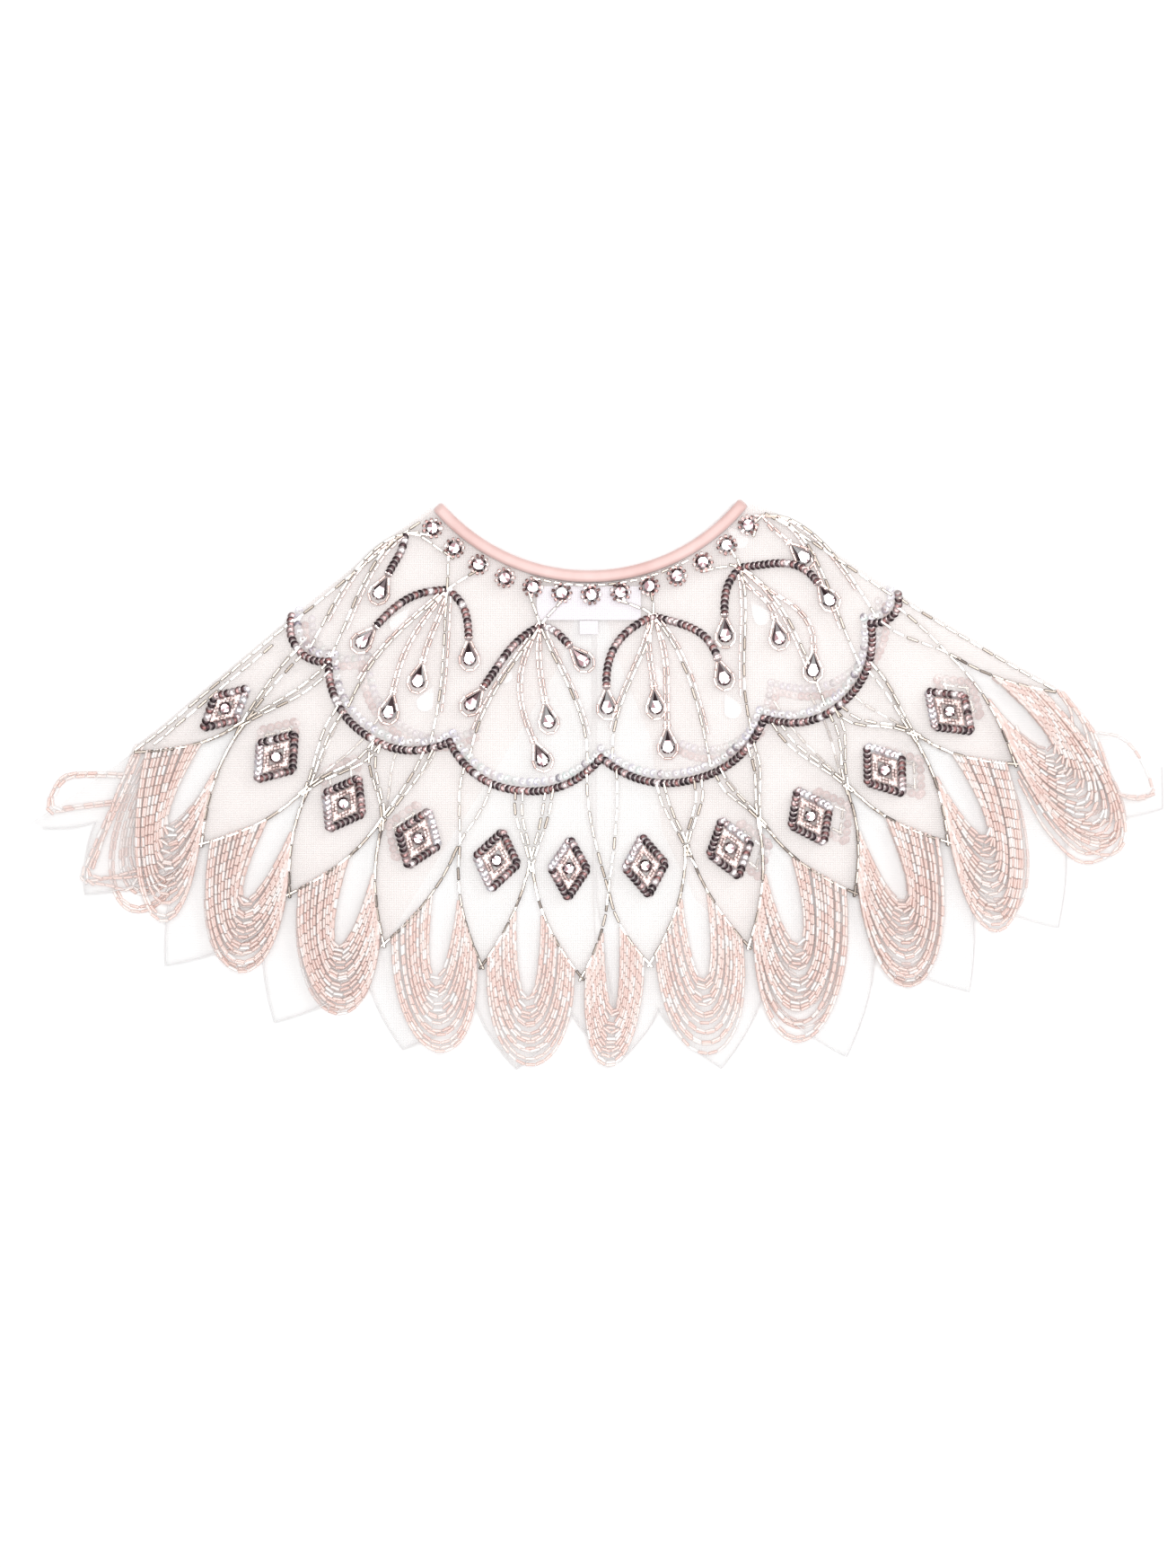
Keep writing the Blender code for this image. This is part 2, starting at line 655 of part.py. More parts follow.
def strand(mesh, roots, guides, depth, low, high, steps):
    """One hanging strand of three sides, nested between the outer and the inner guide of its swag."""

    def curve(way):
        outer, inner = (swag_curve(*guide, way) for guide in guides)
        return outer.lerp(inner, depth)

    rings = [roots[0]]
    for step in range(1, steps):
        way = step / steps
        place = curve(way)
        run = (curve(way + STEP_AHEAD) - curve(way - STEP_AHEAD)).normalized()
        outside = Vector((run.y, -run.x)) * (STRAND_WIDTH / 2)
        rings.append((mesh.verts.new((*(place + outside), low)),
                      mesh.verts.new((*(place - outside), low)),
                      mesh.verts.new((*place, high))))
    rings.append(roots[1])
    for ring, following in zip(rings, rings[1:]):
        for side in range(3):
            after = (side + 1) % 3
            mesh.faces.new((ring[side], ring[after], following[after], following[side]))


def swag_guides(legs, swag):
    """Ends and droop of the outermost and the innermost strand of a swag."""
    far = SEAM_GAP + STRIP_WIDTH
    outer_ends = [leg_place(leg, TIED_FROM, far) for leg in legs]
    inner_ends = [leg_place(leg, TIED_TO, far) for leg in legs]
    droop = Vector((swag.lean, -swag.drop))
    notch = polar(*legs[0].notch)
    down_petal = (outer_ends[0] + outer_ends[1]) / 2 - notch
    swing = down_petal.normalized() * INNER_SWING + droop.normalized() * (1.0 - INNER_SWING)
    return (*outer_ends, droop), (*inner_ends, swing.normalized() * INNER_DROP)


def make_swag(name, row, following, swag, steps, low):
    """One swag: two backing strips on neighbouring petals and the strands between them."""
    notch = (row.notch_angle, row.notch_radius)
    legs = (Leg((row.tip_angle, row.tip_radius), notch, 1),
            Leg((following.tip_angle, following.tip_radius), notch, -1))
    shares = [index / (swag.strands - 1) for index in range(swag.strands)]
    tied = [TIED_FROM + (TIED_TO - TIED_FROM) * share for share in shares]
    high = low + STRAND_HEIGHT
    mesh = bmesh.new()
    roots = []
    for leg in legs:
        length = (leg_place(leg, TIED_FROM, 0.0) - leg_place(leg, TIED_TO, 0.0)).length
        root_half = ROOT_WIDTH / 2 * (TIED_FROM - TIED_TO) / length
        roots.append(backing_strip(mesh, leg, tied, root_half, low, high))
    guides = swag_guides(legs, swag)
    for index, share in enumerate(shares):
        strand(mesh, (roots[0][index], roots[1][index]), guides, share, low, high, steps)
    finish(finish_mesh(name, mesh), BEAD_COLOUR, BEAD_ROUGHNESS)


def make_fringe():
    """Bead swags of the front, and of the two back halves under it."""
    for index, swag in enumerate(FRONT_SWAGS):
        make_swag(f"fringe_front_{index + 1:02d}", NET_PETALS[index], NET_PETALS[index + 1], swag,
                  FRONT_STRAND_STEPS, NET_FRONT_LOW)
    for side, petals, swags in (("left", NET_BACK_LEFT_PETALS, BACK_LEFT_SWAGS),
                                ("right", NET_BACK_RIGHT_PETALS, BACK_RIGHT_SWAGS)):
        for index, swag in enumerate(swags):
            make_swag(f"fringe_back_{side}_{index + 1}", petals[index], petals[index + 1], swag,
                      BACK_STRAND_STEPS, FLOOR_CLEARANCE)


for old in list(bpy.data.objects):
    bpy.data.objects.remove(old, do_unlink=True)

make_overlay()
make_lining()
make_binding()
make_plate("label", LABEL_SIZE, LABEL_CENTRE)
make_plate("label_tab", TAB_SIZE, TAB_CENTRE)
make_fringe()
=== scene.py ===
"""Child's beaded net capelet, laid flat with the front uppermost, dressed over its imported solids."""
import math
import random
from collections import namedtuple

import bmesh
import bpy
from mathutils import Matrix, Vector
from mathutils.geometry import delaunay_2d_cdt


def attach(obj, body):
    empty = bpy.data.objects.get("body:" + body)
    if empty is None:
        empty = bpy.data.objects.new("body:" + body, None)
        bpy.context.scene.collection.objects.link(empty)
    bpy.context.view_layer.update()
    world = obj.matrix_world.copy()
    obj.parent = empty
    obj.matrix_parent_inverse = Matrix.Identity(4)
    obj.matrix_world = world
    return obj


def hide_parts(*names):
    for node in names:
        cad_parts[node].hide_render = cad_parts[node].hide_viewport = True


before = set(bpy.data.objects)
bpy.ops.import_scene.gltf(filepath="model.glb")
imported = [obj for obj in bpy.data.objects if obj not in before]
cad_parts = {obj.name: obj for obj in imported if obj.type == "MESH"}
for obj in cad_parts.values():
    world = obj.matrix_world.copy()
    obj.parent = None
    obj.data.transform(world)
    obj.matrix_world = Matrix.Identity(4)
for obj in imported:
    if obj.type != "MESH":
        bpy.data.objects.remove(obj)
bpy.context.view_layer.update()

# Net overlay. One circular cut of nude net, open at the centre back, its hem cut in pointed petals.
# It lies folded at both shoulders, the front over the two back halves. Places on it are an angle in
# degrees from the centre front and a radius in metres from the point of the cone it was cut from.
CONE_POINT = Vector((-0.0038, 0.1989))
NECK_RADIUS = 0.1008
NET_FRONT = 0.0062
NET_BACK = 0.0018
NET_ROLL = 0.0033
FOLD_INSET = 0.0036
NET_GRAIN = 0.0060
NET_FULLNESS = 1.6
EDGE_STEPS = 8
ROLL_STEPS = 6

FoldRow = namedtuple("FoldRow", "radius left_angle right_angle")
SHOULDER_FOLDS = (
    FoldRow(0.0946, -50.0, 51.4), FoldRow(0.1008, -50.8, 53.4), FoldRow(0.1230, -51.4, 54.8),
    FoldRow(0.1844, -51.3, 55.2), FoldRow(0.2750, -50.9, 56.6), FoldRow(0.3370, -51.6, 56.5),
    FoldRow(0.3520, -51.9, 56.4),
)
PetalRow = namedtuple("PetalRow", "tip_angle tip_radius notch_angle notch_radius")
NET_PETALS = (
    PetalRow(-50.27, 0.2880, -45.0, 0.2386), PetalRow(-39.7, 0.2978, -34.4, 0.2432),
    PetalRow(-30.1, 0.2934, -25.0, 0.2380), PetalRow(-19.9, 0.2961, -15.5, 0.2383),
    PetalRow(-10.3, 0.2938, -6.8, 0.2387), PetalRow(-0.7, 0.2948, 2.2, 0.2540),
    PetalRow(5.9, 0.2897, 11.8, 0.2335), PetalRow(15.7, 0.2903, 21.1, 0.2304),
    PetalRow(27.3, 0.2851, 32.3, 0.2354), PetalRow(37.7, 0.2886, 42.3, 0.2343),
    PetalRow(47.8, 0.2828, 52.5, 0.2231), PetalRow(55.85, 0.2750, 55.85, 0.2750),
)
OpeningRow = namedtuple("OpeningRow", "radius left_angle right_angle")
NET_OPENING = (
    OpeningRow(0.1008, -1.0, 2.0), OpeningRow(0.1400, -5.5, 6.0), OpeningRow(0.1800, -11.4, 9.8),
    OpeningRow(0.2250, -15.9, 9.2), OpeningRow(0.2620, -18.3, 11.6), OpeningRow(0.2961, -19.9, 15.7),
)
Crease = namedtuple("Crease", "angle start stop width height")
NET_CREASES = (
    Crease(-45.5, 0.112, 0.262, 0.0070, 0.0006), Crease(-33.0, 0.150, 0.290, 0.0090, -0.0004),
    Crease(-22.5, 0.118, 0.288, 0.0060, 0.0007), Crease(-12.0, 0.160, 0.300, 0.0080, -0.0004),
    Crease(-3.5, 0.125, 0.270, 0.0050, 0.0005), Crease(8.0, 0.140, 0.295, 0.0075, 0.0006),
    Crease(18.0, 0.120, 0.260, 0.0060, -0.0003), Crease(29.0, 0.150, 0.300, 0.0085, 0.0007),
    Crease(40.5, 0.118, 0.250, 0.0065, -0.0004), Crease(49.5, 0.140, 0.280, 0.0070, 0.0006),
)


def spot(angle, radius):
    """Plan place of an angle and a radius about the cone's point."""
    turn = math.radians(angle)
    return CONE_POINT + Vector((math.sin(turn), -math.cos(turn))) * radius


def bearing(place):
    """Angle and radius of a plan place."""
    away = place - CONE_POINT
    return math.degrees(math.atan2(away.x, -away.y)), away.length


def read_row(rows, radius, column):
    """Angle in a column of a short table at a radius, straight between its rows."""
    for low, high in zip(rows, rows[1:]):
        if radius <= high.radius:
            break
    share = (radius - low.radius) / (high.radius - low.radius)
    return getattr(low, column) + share * (getattr(high, column) - getattr(low, column))


def shoulder_line(side, hem_radius, neck_radius, steps):
    """Fold line from hem to neck, set in from the silhouette by the roll of the cloth."""
    column = "left_angle" if side < 0 else "right_angle"
    line = []
    for step in range(steps + 1):
        radius = hem_radius + (neck_radius - hem_radius) * step / steps
        angle = read_row(SHOULDER_FOLDS, radius, column)
        line.append(spot(angle - side * math.degrees(FOLD_INSET / radius), radius))
    return line


def petal_side(tip, notch, share, fullness):
    """Angle and radius on a petal's curved side, at a share of the way from notch to tip."""
    return tip[0] + (notch[0] - tip[0]) * (1 - share ** fullness), notch[1] + (tip[1] - notch[1]) * share


def petal_hem(petals, fullness):
    """Angles and radii along a petalled hem from its left tip to its right tip."""
    hem = []
    for row, following in zip(petals, petals[1:]):
        notch = (row.notch_angle, row.notch_radius)
        for step in range(EDGE_STEPS):
            hem.append(petal_side(row[:2], notch, 1 - step / EDGE_STEPS, fullness))
        for step in range(EDGE_STEPS):
            hem.append(petal_side(following[:2], notch, step / EDGE_STEPS, fullness))
    last = petals[-1]
    hem.append(last[:2])
    if last.notch_angle > last.tip_angle:
        hem.append(last[2:])
    return hem


def neck_line(from_angle, to_angle, radius, steps):
    """Points along the neck between two angles, without its ends."""
    return [spot(from_angle + (to_angle - from_angle) * step / steps, radius) for step in range(1, steps)]


def crease_lift(creases, angle, radius):
    """How far the soft creases raise or sink a cloth at a place."""
    lift = 0.0
    for crease in creases:
        along = (radius - crease.start) / (crease.stop - crease.start)
        if 0 < along < 1:
            across = math.radians(angle - crease.angle) * radius / crease.width
            lift += crease.height * math.exp(-across * across) * math.sin(math.pi * along)
    return lift


Panel = namedtuple("Panel", "outline right_run left_run")


def cut_panel(hem, right, neck, left):
    """A panel's outline, anticlockwise; both its sides are listed from hem to neck."""
    outline = hem[1:-1] + right + neck + left[::-1]
    first = len(hem) - 2
    return Panel(outline, list(range(first, first + len(right))),
                 [len(outline) - 1 - step for step in range(len(left))])


def cut_cloth(hem, left_hem, right_hem, opening, fold_steps):
    """Front and two back halves of one cloth, sharing their fold lines."""
    left_fold = shoulder_line(-1, hem[0][1], NECK_RADIUS, fold_steps)
    right_fold = shoulder_line(1, hem[-1][1], NECK_RADIUS, fold_steps)
    left_corner = bearing(left_fold[-1])[0]
    right_corner = bearing(right_fold[-1])[0]
    front = cut_panel([left_fold[0]] + [spot(*place) for place in hem[1:-1]] + [right_fold[0]], right_fold,
                      neck_line(right_corner, left_corner, NECK_RADIUS, 40), left_fold)
    left_edge = [spot(*left_hem[-1])] + [spot(row.left_angle, row.radius) for row in reversed(opening)
                                         if row.radius < left_hem[-1][1] - FOLD_INSET]
    back_left = cut_panel([left_fold[0]] + [spot(*place) for place in left_hem[1:]], left_edge,
                          neck_line(opening[0].left_angle, left_corner, NECK_RADIUS, 20), left_fold)
    right_edge = [spot(*right_hem[0])] + [spot(row.right_angle, row.radius) for row in reversed(opening)
                                          if row.radius < right_hem[0][1] - FOLD_INSET]
    back_right = cut_panel([right_edge[0]] + [spot(*place) for place in right_hem[1:-1]] + [right_fold[0]],
                           right_fold, neck_line(right_corner, opening[0].right_angle, NECK_RADIUS, 20), right_edge)
    return front, back_left, back_right


def spread_cloth(mesh, panel, height, grain):
    """One layer of cloth over a panel's outline, with even triangles; returns the outline's vertices."""
    flat = [Vector(point) for point in panel.outline]
    edges = [(index, (index + 1) % len(flat)) for index in range(len(flat))]
    corners = [bearing(point) for point in flat]
    radius = min(corner[1] for corner in corners) + grain
    while radius < max(corner[1] for corner in corners):
        step = math.degrees(grain / radius)
        angle = min(corner[0] for corner in corners) + step
        while angle < max(corner[0] for corner in corners):
            flat.append(spot(angle, radius))
            angle += step
        radius += grain
    places, _, faces, sources, _, _ = delaunay_2d_cdt(flat, edges, [], 1, 1e-7)
    used = {index for face in faces for index in face}
    verts = {index: mesh.verts.new((*places[index], height(*bearing(places[index])))) for index in used}
    for face in faces:
        mesh.faces.new([verts[index] for index in face])
    outline = {}
    for index in used:
        for source in sources[index]:
            outline[source] = verts[index]
    return [outline[index] for index in range(len(panel.outline))]


def fold_cloth(name, panels, front_height, back_height, reach, grain):
    """A whole cloth: its front, its two back halves and the soft rolls at the shoulders."""
    front, back_left, back_right = panels
    mesh = bmesh.new()
    top = spread_cloth(mesh, front, front_height, grain)
    for half, run, front_run, side in ((back_left, back_left.left_run, front.left_run, -1),
                                       (back_right, back_right.right_run, front.right_run, 1)):
        under = spread_cloth(mesh, half, back_height, grain)
        rows = []
        for step, index in enumerate(front_run):
            before = front.outline[front_run[max(step - 1, 0)]]
            after = front.outline[front_run[min(step + 1, len(front_run) - 1)]]
            along = (after - before).normalized()
            outward = Vector((along.y, -along.x)) * side
            high, low = top[index], under[run[step]]
            row = [high]
            for turn_step in range(1, ROLL_STEPS):
                turn = math.pi * turn_step / ROLL_STEPS
                place = front.outline[index] + outward * reach * math.sin(turn)
                height = (high.co.z + low.co.z) / 2 + (high.co.z - low.co.z) / 2 * math.cos(turn)
                row.append(mesh.verts.new((*place, height)))
            rows.append(row + [low])
        for row, following in zip(rows, rows[1:]):
            for step in range(ROLL_STEPS):
                mesh.faces.new((row[step], row[step + 1], following[step + 1], following[step]))
    bmesh.ops.recalc_face_normals(mesh, faces=mesh.faces)
    if max(mesh.faces, key=lambda face: face.calc_center_median().z).normal.z < 0:
        bmesh.ops.reverse_faces(mesh, faces=mesh.faces)
    return place_mesh(name, mesh)


def place_mesh(name, mesh, smooth=True):
    """Put a finished mesh into the scene."""
    data = bpy.data.meshes.new(name)
    mesh.to_mesh(data)
    mesh.free()
    for face in data.polygons:
        face.use_smooth = smooth
    piece = bpy.data.objects.new(name, data)
    bpy.context.collection.objects.link(piece)
    return piece


def new_material(name, colour, roughness, metallic=0.0):
    """A plain surface to build on; returns the material, its nodes and its shader."""
    material = bpy.data.materials.new(name)
    material.use_nodes = True
    shader = material.node_tree.nodes["Principled BSDF"]
    shader.inputs["Base Color"].default_value = (*colour, 1.0)
    shader.inputs["Roughness"].default_value = roughness
    shader.inputs["Metallic"].default_value = metallic
    return material, material.node_tree.nodes, shader


def sheer_cloth(name, thread, back_thread, cell, thin, thick, rough):
    """Sheer cloth: threads in fine cells with clear air between, a second colour on the back half."""
    material, nodes, shader = new_material(name, thread, rough)
    links = material.node_tree.links
    place = nodes.new("ShaderNodeTexCoord")
    cells = nodes.new("ShaderNodeTexVoronoi")
    cells.voronoi_dimensions = "2D"
    cells.feature = "DISTANCE_TO_EDGE"
    cells.inputs["Scale"].default_value = 1 / cell
    cells.inputs["Randomness"].default_value = 0.25
    links.new(place.outputs["Object"], cells.inputs["Vector"])
    body = nodes.new("ShaderNodeMapRange")
    body.inputs["From Min"].default_value = 0.02
    body.inputs["From Max"].default_value = 0.22
    body.inputs["To Min"].default_value = thick
    body.inputs["To Max"].default_value = thin
    links.new(cells.outputs["Distance"], body.inputs["Value"])
    drift = nodes.new("ShaderNodeTexNoise")
    drift.inputs["Scale"].default_value = 28.0
    drift.inputs["Detail"].default_value = 2.0
    links.new(place.outputs["Object"], drift.inputs["Vector"])
    soft = nodes.new("ShaderNodeMapRange")
    soft.inputs["To Min"].default_value = 0.88
    soft.inputs["To Max"].default_value = 1.12
    links.new(drift.outputs["Fac"], soft.inputs["Value"])
    cover = nodes.new("ShaderNodeMath")
    cover.operation = "MULTIPLY"
    links.new(body.outputs["Result"], cover.inputs[0])
    links.new(soft.outputs["Result"], cover.inputs[1])
    links.new(cover.outputs["Value"], shader.inputs["Alpha"])
    height = nodes.new("ShaderNodeSeparateXYZ")
    links.new(place.outputs["Object"], height.inputs["Vector"])
    layer = nodes.new("ShaderNodeMapRange")
    layer.inputs["From Min"].default_value = 0.0035
    layer.inputs["From Max"].default_value = 0.0045
    links.new(height.outputs["Z"], layer.inputs["Value"])
    colours = nodes.new("ShaderNodeMix")
    colours.data_type = "RGBA"
    colours.inputs["A"].default_value = (*back_thread, 1.0)
    colours.inputs["B"].default_value = (*thread, 1.0)
    links.new(layer.outputs["Result"], colours.inputs["Factor"])
    links.new(colours.outputs["Result"], shader.inputs["Base Color"])
    shader.inputs["Sheen Weight"].default_value = 0.15
    return material


def front_net(angle, radius):
    """Height of the front of the net, falling away where it rolls over at a shoulder."""
    height = NET_FRONT + crease_lift(NET_CREASES, angle, radius)
    for side, column in ((-1, "left_angle"), (1, "right_angle")):
        inside = math.radians(side * (read_row(SHOULDER_FOLDS, radius, column) - angle)) * radius
        if inside < FOLD_INSET:
            share = min(1.0, 1 - inside / FOLD_INSET)
            height -= (NET_FRONT - NET_BACK) / 2 * (1 - math.sqrt(1 - share * share))
    return height


def back_net(angle, radius):
    """Height of the back of the net."""
    return NET_BACK + 0.0001 * math.sin(angle * 0.9) * math.sin(radius * 90)


net_hem = petal_hem(NET_PETALS, NET_FULLNESS)
net_panels = cut_cloth(net_hem, petal_hem(NET_PETALS[0:4], NET_FULLNESS)[:-1],
                       petal_hem(NET_PETALS[7:12], NET_FULLNESS), NET_OPENING, 24)
net_overlay = fold_cloth("net_overlay", net_panels, front_net, back_net, NET_ROLL, NET_GRAIN)
net_overlay.data.materials.append(
    sheer_cloth("nude_net", (0.985, 0.91, 0.875), (0.98, 0.76, 0.69), 0.0011, 0.07, 0.23, 0.85))
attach(net_overlay, "root")
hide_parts("overlay")

# Lining. Pale sheer cloth cut like the net but longer, its petals staggered with the net's and its
# edges left raw with a fine overlocked thread. It lies inside the net and shows past the fringe.
LINING_FRONT = 0.0051
LINING_BACK = 0.0029
LINING_ROLL = 0.0011
LINING_GRAIN = 0.0075
LINING_FULLNESS = 1.35
LINING_THREAD = 0.00022
LINING_PETALS = (
    PetalRow(-51.0, 0.3510, -48.0, 0.3250), PetalRow(-44.3, 0.3542, -39.9, 0.3120),
    PetalRow(-35.8, 0.3555, -30.5, 0.3115), PetalRow(-26.0, 0.3519, -20.3, 0.3115),
    PetalRow(-15.5, 0.3419, -10.2, 0.3115), PetalRow(-6.0, 0.3410, -1.5, 0.3115),
    PetalRow(2.6, 0.3360, 6.3, 0.3110), PetalRow(10.9, 0.3450, 15.9, 0.3110),
    PetalRow(20.8, 0.3564, 26.6, 0.3110), PetalRow(31.8, 0.3545, 36.5, 0.3115),
    PetalRow(40.5, 0.3549, 47.0, 0.3150), PetalRow(53.1, 0.3523, 55.6, 0.3400),
)
LINING_OPENING = (
    OpeningRow(0.1008, 1.2, 2.1), OpeningRow(0.1800, 0.6, 1.1),
    OpeningRow(0.2550, 0.5, 0.85), OpeningRow(0.3300, 0.9, 2.75),
)
LINING_CREASES = (
    Crease(-47.0, 0.230, 0.360, 0.0080, 0.0005), Crease(-38.0, 0.200, 0.350, 0.0070, -0.0005),
    Crease(-28.0, 0.220, 0.365, 0.0090, 0.0004), Crease(-17.0, 0.180, 0.355, 0.0060, -0.0005),
    Crease(-8.5, 0.230, 0.350, 0.0070, 0.0004), Crease(4.5, 0.200, 0.345, 0.0060, -0.0005),
    Crease(14.0, 0.220, 0.350, 0.0080, 0.0004), Crease(24.5, 0.210, 0.360, 0.0075, -0.0005),
    Crease(35.0, 0.230, 0.360, 0.0070, 0.0004), Crease(46.0, 0.220, 0.360, 0.0085, 0.0005),
)


def trim_hem(hem, from_angle, to_angle):
    """The part of a hem between two angles, with a point worked out at each end."""
    kept = []
    for here, after in zip(hem, hem[1:]):
        for bound in (from_angle, to_angle):
            if here[0] < bound < after[0]:
                share = (bound - here[0]) / (after[0] - here[0])
                kept.append((bound, here[1] + share * (after[1] - here[1])))
        if from_angle < after[0] < to_angle:
            kept.append(after)
    return sorted(kept)


def front_lining(angle, radius):
    """Height of the front of the lining."""
    return LINING_FRONT + crease_lift(LINING_CREASES, angle, radius) * 0.6


def back_lining(angle, radius):
    """Height of the back of the lining."""
    return LINING_BACK - crease_lift(LINING_CREASES, angle + 4.0, radius) * 0.5


def round_cord(name, paths, radius, material):
    """Fine cords of one thickness along open paths."""
    curve = bpy.data.curves.new(name, "CURVE")
    curve.dimensions = "3D"
    curve.bevel_depth = radius
    curve.bevel_resolution = 0
    curve.use_fill_caps = True
    for path in paths:
        spline = curve.splines.new("POLY")
        spline.points.add(len(path) - 1)
        for point, place in zip(spline.points, path):
            point.co = (*place, 1.0)
    carrier = bpy.data.objects.new(name, curve)
    bpy.context.collection.objects.link(carrier)
    data = bpy.data.meshes.new_from_object(carrier.evaluated_get(bpy.context.evaluated_depsgraph_get()))
    bpy.data.objects.remove(carrier)
    data.name = name
    data.materials.clear()
    data.materials.append(material)
    piece = bpy.data.objects.new(name, data)
    bpy.context.collection.objects.link(piece)
    return piece


def raised_path(panel, start, stop, height):
    """Part of a panel's outline as a path at the cloth's height."""
    places = [panel.outline[index % len(panel.outline)] for index in range(start, stop)]
    return [(*place, height(*bearing(place))) for place in places]


lining_hem = petal_hem(LINING_PETALS, LINING_FULLNESS)
lining_split = LINING_OPENING[-1]
lining_panels = cut_cloth(
    lining_hem, [lining_hem[0]] + trim_hem(lining_hem, lining_hem[0][0], lining_split.left_angle),
    trim_hem(lining_hem, lining_split.right_angle, lining_hem[-1][0]) + [lining_hem[-1]], LINING_OPENING, 30)
lining_cloth = fold_cloth("lining_cloth", lining_panels, front_lining, back_lining, LINING_ROLL, LINING_GRAIN)
lining_cloth.data.materials.append(
    sheer_cloth("sheer_lining", (0.875, 0.865, 0.87), (0.885, 0.87, 0.865), 0.0007, 0.12, 0.23, 0.7))
lining_thread, _, _ = new_material("overlock_thread", (0.86, 0.84, 0.84), 0.6)
thread_paths = []
for panel, height in zip(lining_panels, (front_lining, back_lining, back_lining)):
    stop = min(panel.right_run) if panel is not lining_panels[1] else max(panel.right_run)
    thread_paths.append(raised_path(panel, 0, stop + 1, height))
thread_paths.append(raised_path(lining_panels[2], min(lining_panels[2].left_run),
                                len(lining_panels[2].outline) + 1, back_lining))
lining_edges = round_cord("lining_edges", thread_paths, LINING_THREAD, lining_thread)
for piece in (lining_cloth, lining_edges):
    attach(piece, "root")
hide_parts("lining")

# Neck binding. A bias strip of dusty pink satin folded over the raw neck edge of net and lining,
# rounded along the neck, edge-stitched through all layers, and open at the centre back.
BINDING_RADIUS = 0.0975
BINDING_HALF_WIDTH = 0.0029
BINDING_HALF_THICKNESS = 0.0017
BINDING_FRONT = 0.0065
BINDING_BACK = 0.00175
BINDING_SIDES = 14
BINDING_ARC_STEPS = 60
BINDING_PINK = (0.74, 0.50, 0.455)


def binding_path():
    """Middle of the strip: out along the back left, over the shoulder, round the front and back again."""
    split = LINING_OPENING[0]
    left = SHOULDER_FOLDS[0].left_angle + math.degrees(FOLD_INSET / BINDING_RADIUS)
    right = SHOULDER_FOLDS[0].right_angle - math.degrees(FOLD_INSET / BINDING_RADIUS)
    middle = (BINDING_FRONT + BINDING_BACK) / 2
    half = (BINDING_FRONT - BINDING_BACK) / 2
    stations = []
    for step in range(BINDING_ARC_STEPS // 2 + 1):
        share = step / (BINDING_ARC_STEPS // 2)
        stations.append((split.left_angle + (left - split.left_angle) * share, 0.0, BINDING_BACK, -1.0))
    for step in range(1, ROLL_STEPS * 2):
        turn = math.pi * step / (ROLL_STEPS * 2)
        stations.append((left, -half * 0.75 * math.sin(turn), middle - half * math.cos(turn), -math.cos(turn)))
    for step in range(BINDING_ARC_STEPS + 1):
        share = step / BINDING_ARC_STEPS
        stations.append((left + (right - left) * share, 0.0, BINDING_FRONT, 1.0))
    for step in range(1, ROLL_STEPS * 2):
        turn = math.pi * step / (ROLL_STEPS * 2)
        stations.append((right, half * 0.75 * math.sin(turn), middle + half * math.cos(turn), math.cos(turn)))
    for step in range(BINDING_ARC_STEPS // 2 + 1):
        share = step / (BINDING_ARC_STEPS // 2)
        stations.append((right + (split.right_angle - right) * share, 0.0, BINDING_BACK, -1.0))
    return stations


mesh = bmesh.new()
rings, middles = [], []
stations = binding_path()
for angle, shift, height, _ in stations:
    tangent = Vector((math.cos(math.radians(angle)), math.sin(math.radians(angle)), 0))
    middles.append(Vector((*spot(angle, BINDING_RADIUS), height)) + tangent * shift)
for index, (station, middle) in enumerate(zip(stations, middles)):
    angle = station[0]
    run = (middles[min(index + 1, len(middles) - 1)] - middles[max(index - 1, 0)]).normalized()
    across = Vector((math.sin(math.radians(angle)), -math.cos(math.radians(angle)), 0))
    up = across.cross(run).normalized()
    ring = []
    for side in range(BINDING_SIDES):
        turn = math.tau * side / BINDING_SIDES
        wide = math.copysign(abs(math.cos(turn)) ** 0.55, math.cos(turn)) * BINDING_HALF_WIDTH
        deep = math.copysign(abs(math.sin(turn)) ** 0.75, math.sin(turn)) * BINDING_HALF_THICKNESS
        ring.append(mesh.verts.new(middle + across * wide + up * deep))
    rings.append(ring)
for ring, following in zip(rings, rings[1:]):
    for side in range(BINDING_SIDES):
        after = (side + 1) % BINDING_SIDES
        mesh.faces.new((ring[side], ring[after], following[after], following[side]))
mesh.faces.new(rings[0])
mesh.faces.new(rings[-1])
bmesh.ops.recalc_face_normals(mesh, faces=mesh.faces)
satin_binding = place_mesh("satin_binding", mesh)
satin, nodes, shader = new_material("dusty_pink_satin", BINDING_PINK, 0.38)
shader.inputs["Sheen Weight"].default_value = 0.4
place = nodes.new("ShaderNodeTexCoord")
weave = nodes.new("ShaderNodeTexNoise")
weave.inputs["Scale"].default_value = 900.0
streaks = nodes.new("ShaderNodeTexNoise")
streaks.inputs["Scale"].default_value = 60.0
streaks.inputs["Detail"].default_value = 3.0
shades = nodes.new("ShaderNodeMapRange")
shades.inputs["From Min"].default_value = 0.3
shades.inputs["From Max"].default_value = 0.7
pinks = nodes.new("ShaderNodeMix")
pinks.data_type = "RGBA"
pinks.inputs["A"].default_value = (0.66, 0.425, 0.395, 1.0)
pinks.inputs["B"].default_value = (0.75, 0.53, 0.50, 1.0)
relief = nodes.new("ShaderNodeBump")
relief.inputs["Strength"].default_value = 0.15
relief.inputs["Distance"].default_value = 0.0002
links = satin.node_tree.links
links.new(place.outputs["Object"], weave.inputs["Vector"])
links.new(place.outputs["Object"], streaks.inputs["Vector"])
links.new(streaks.outputs["Fac"], shades.inputs["Value"])
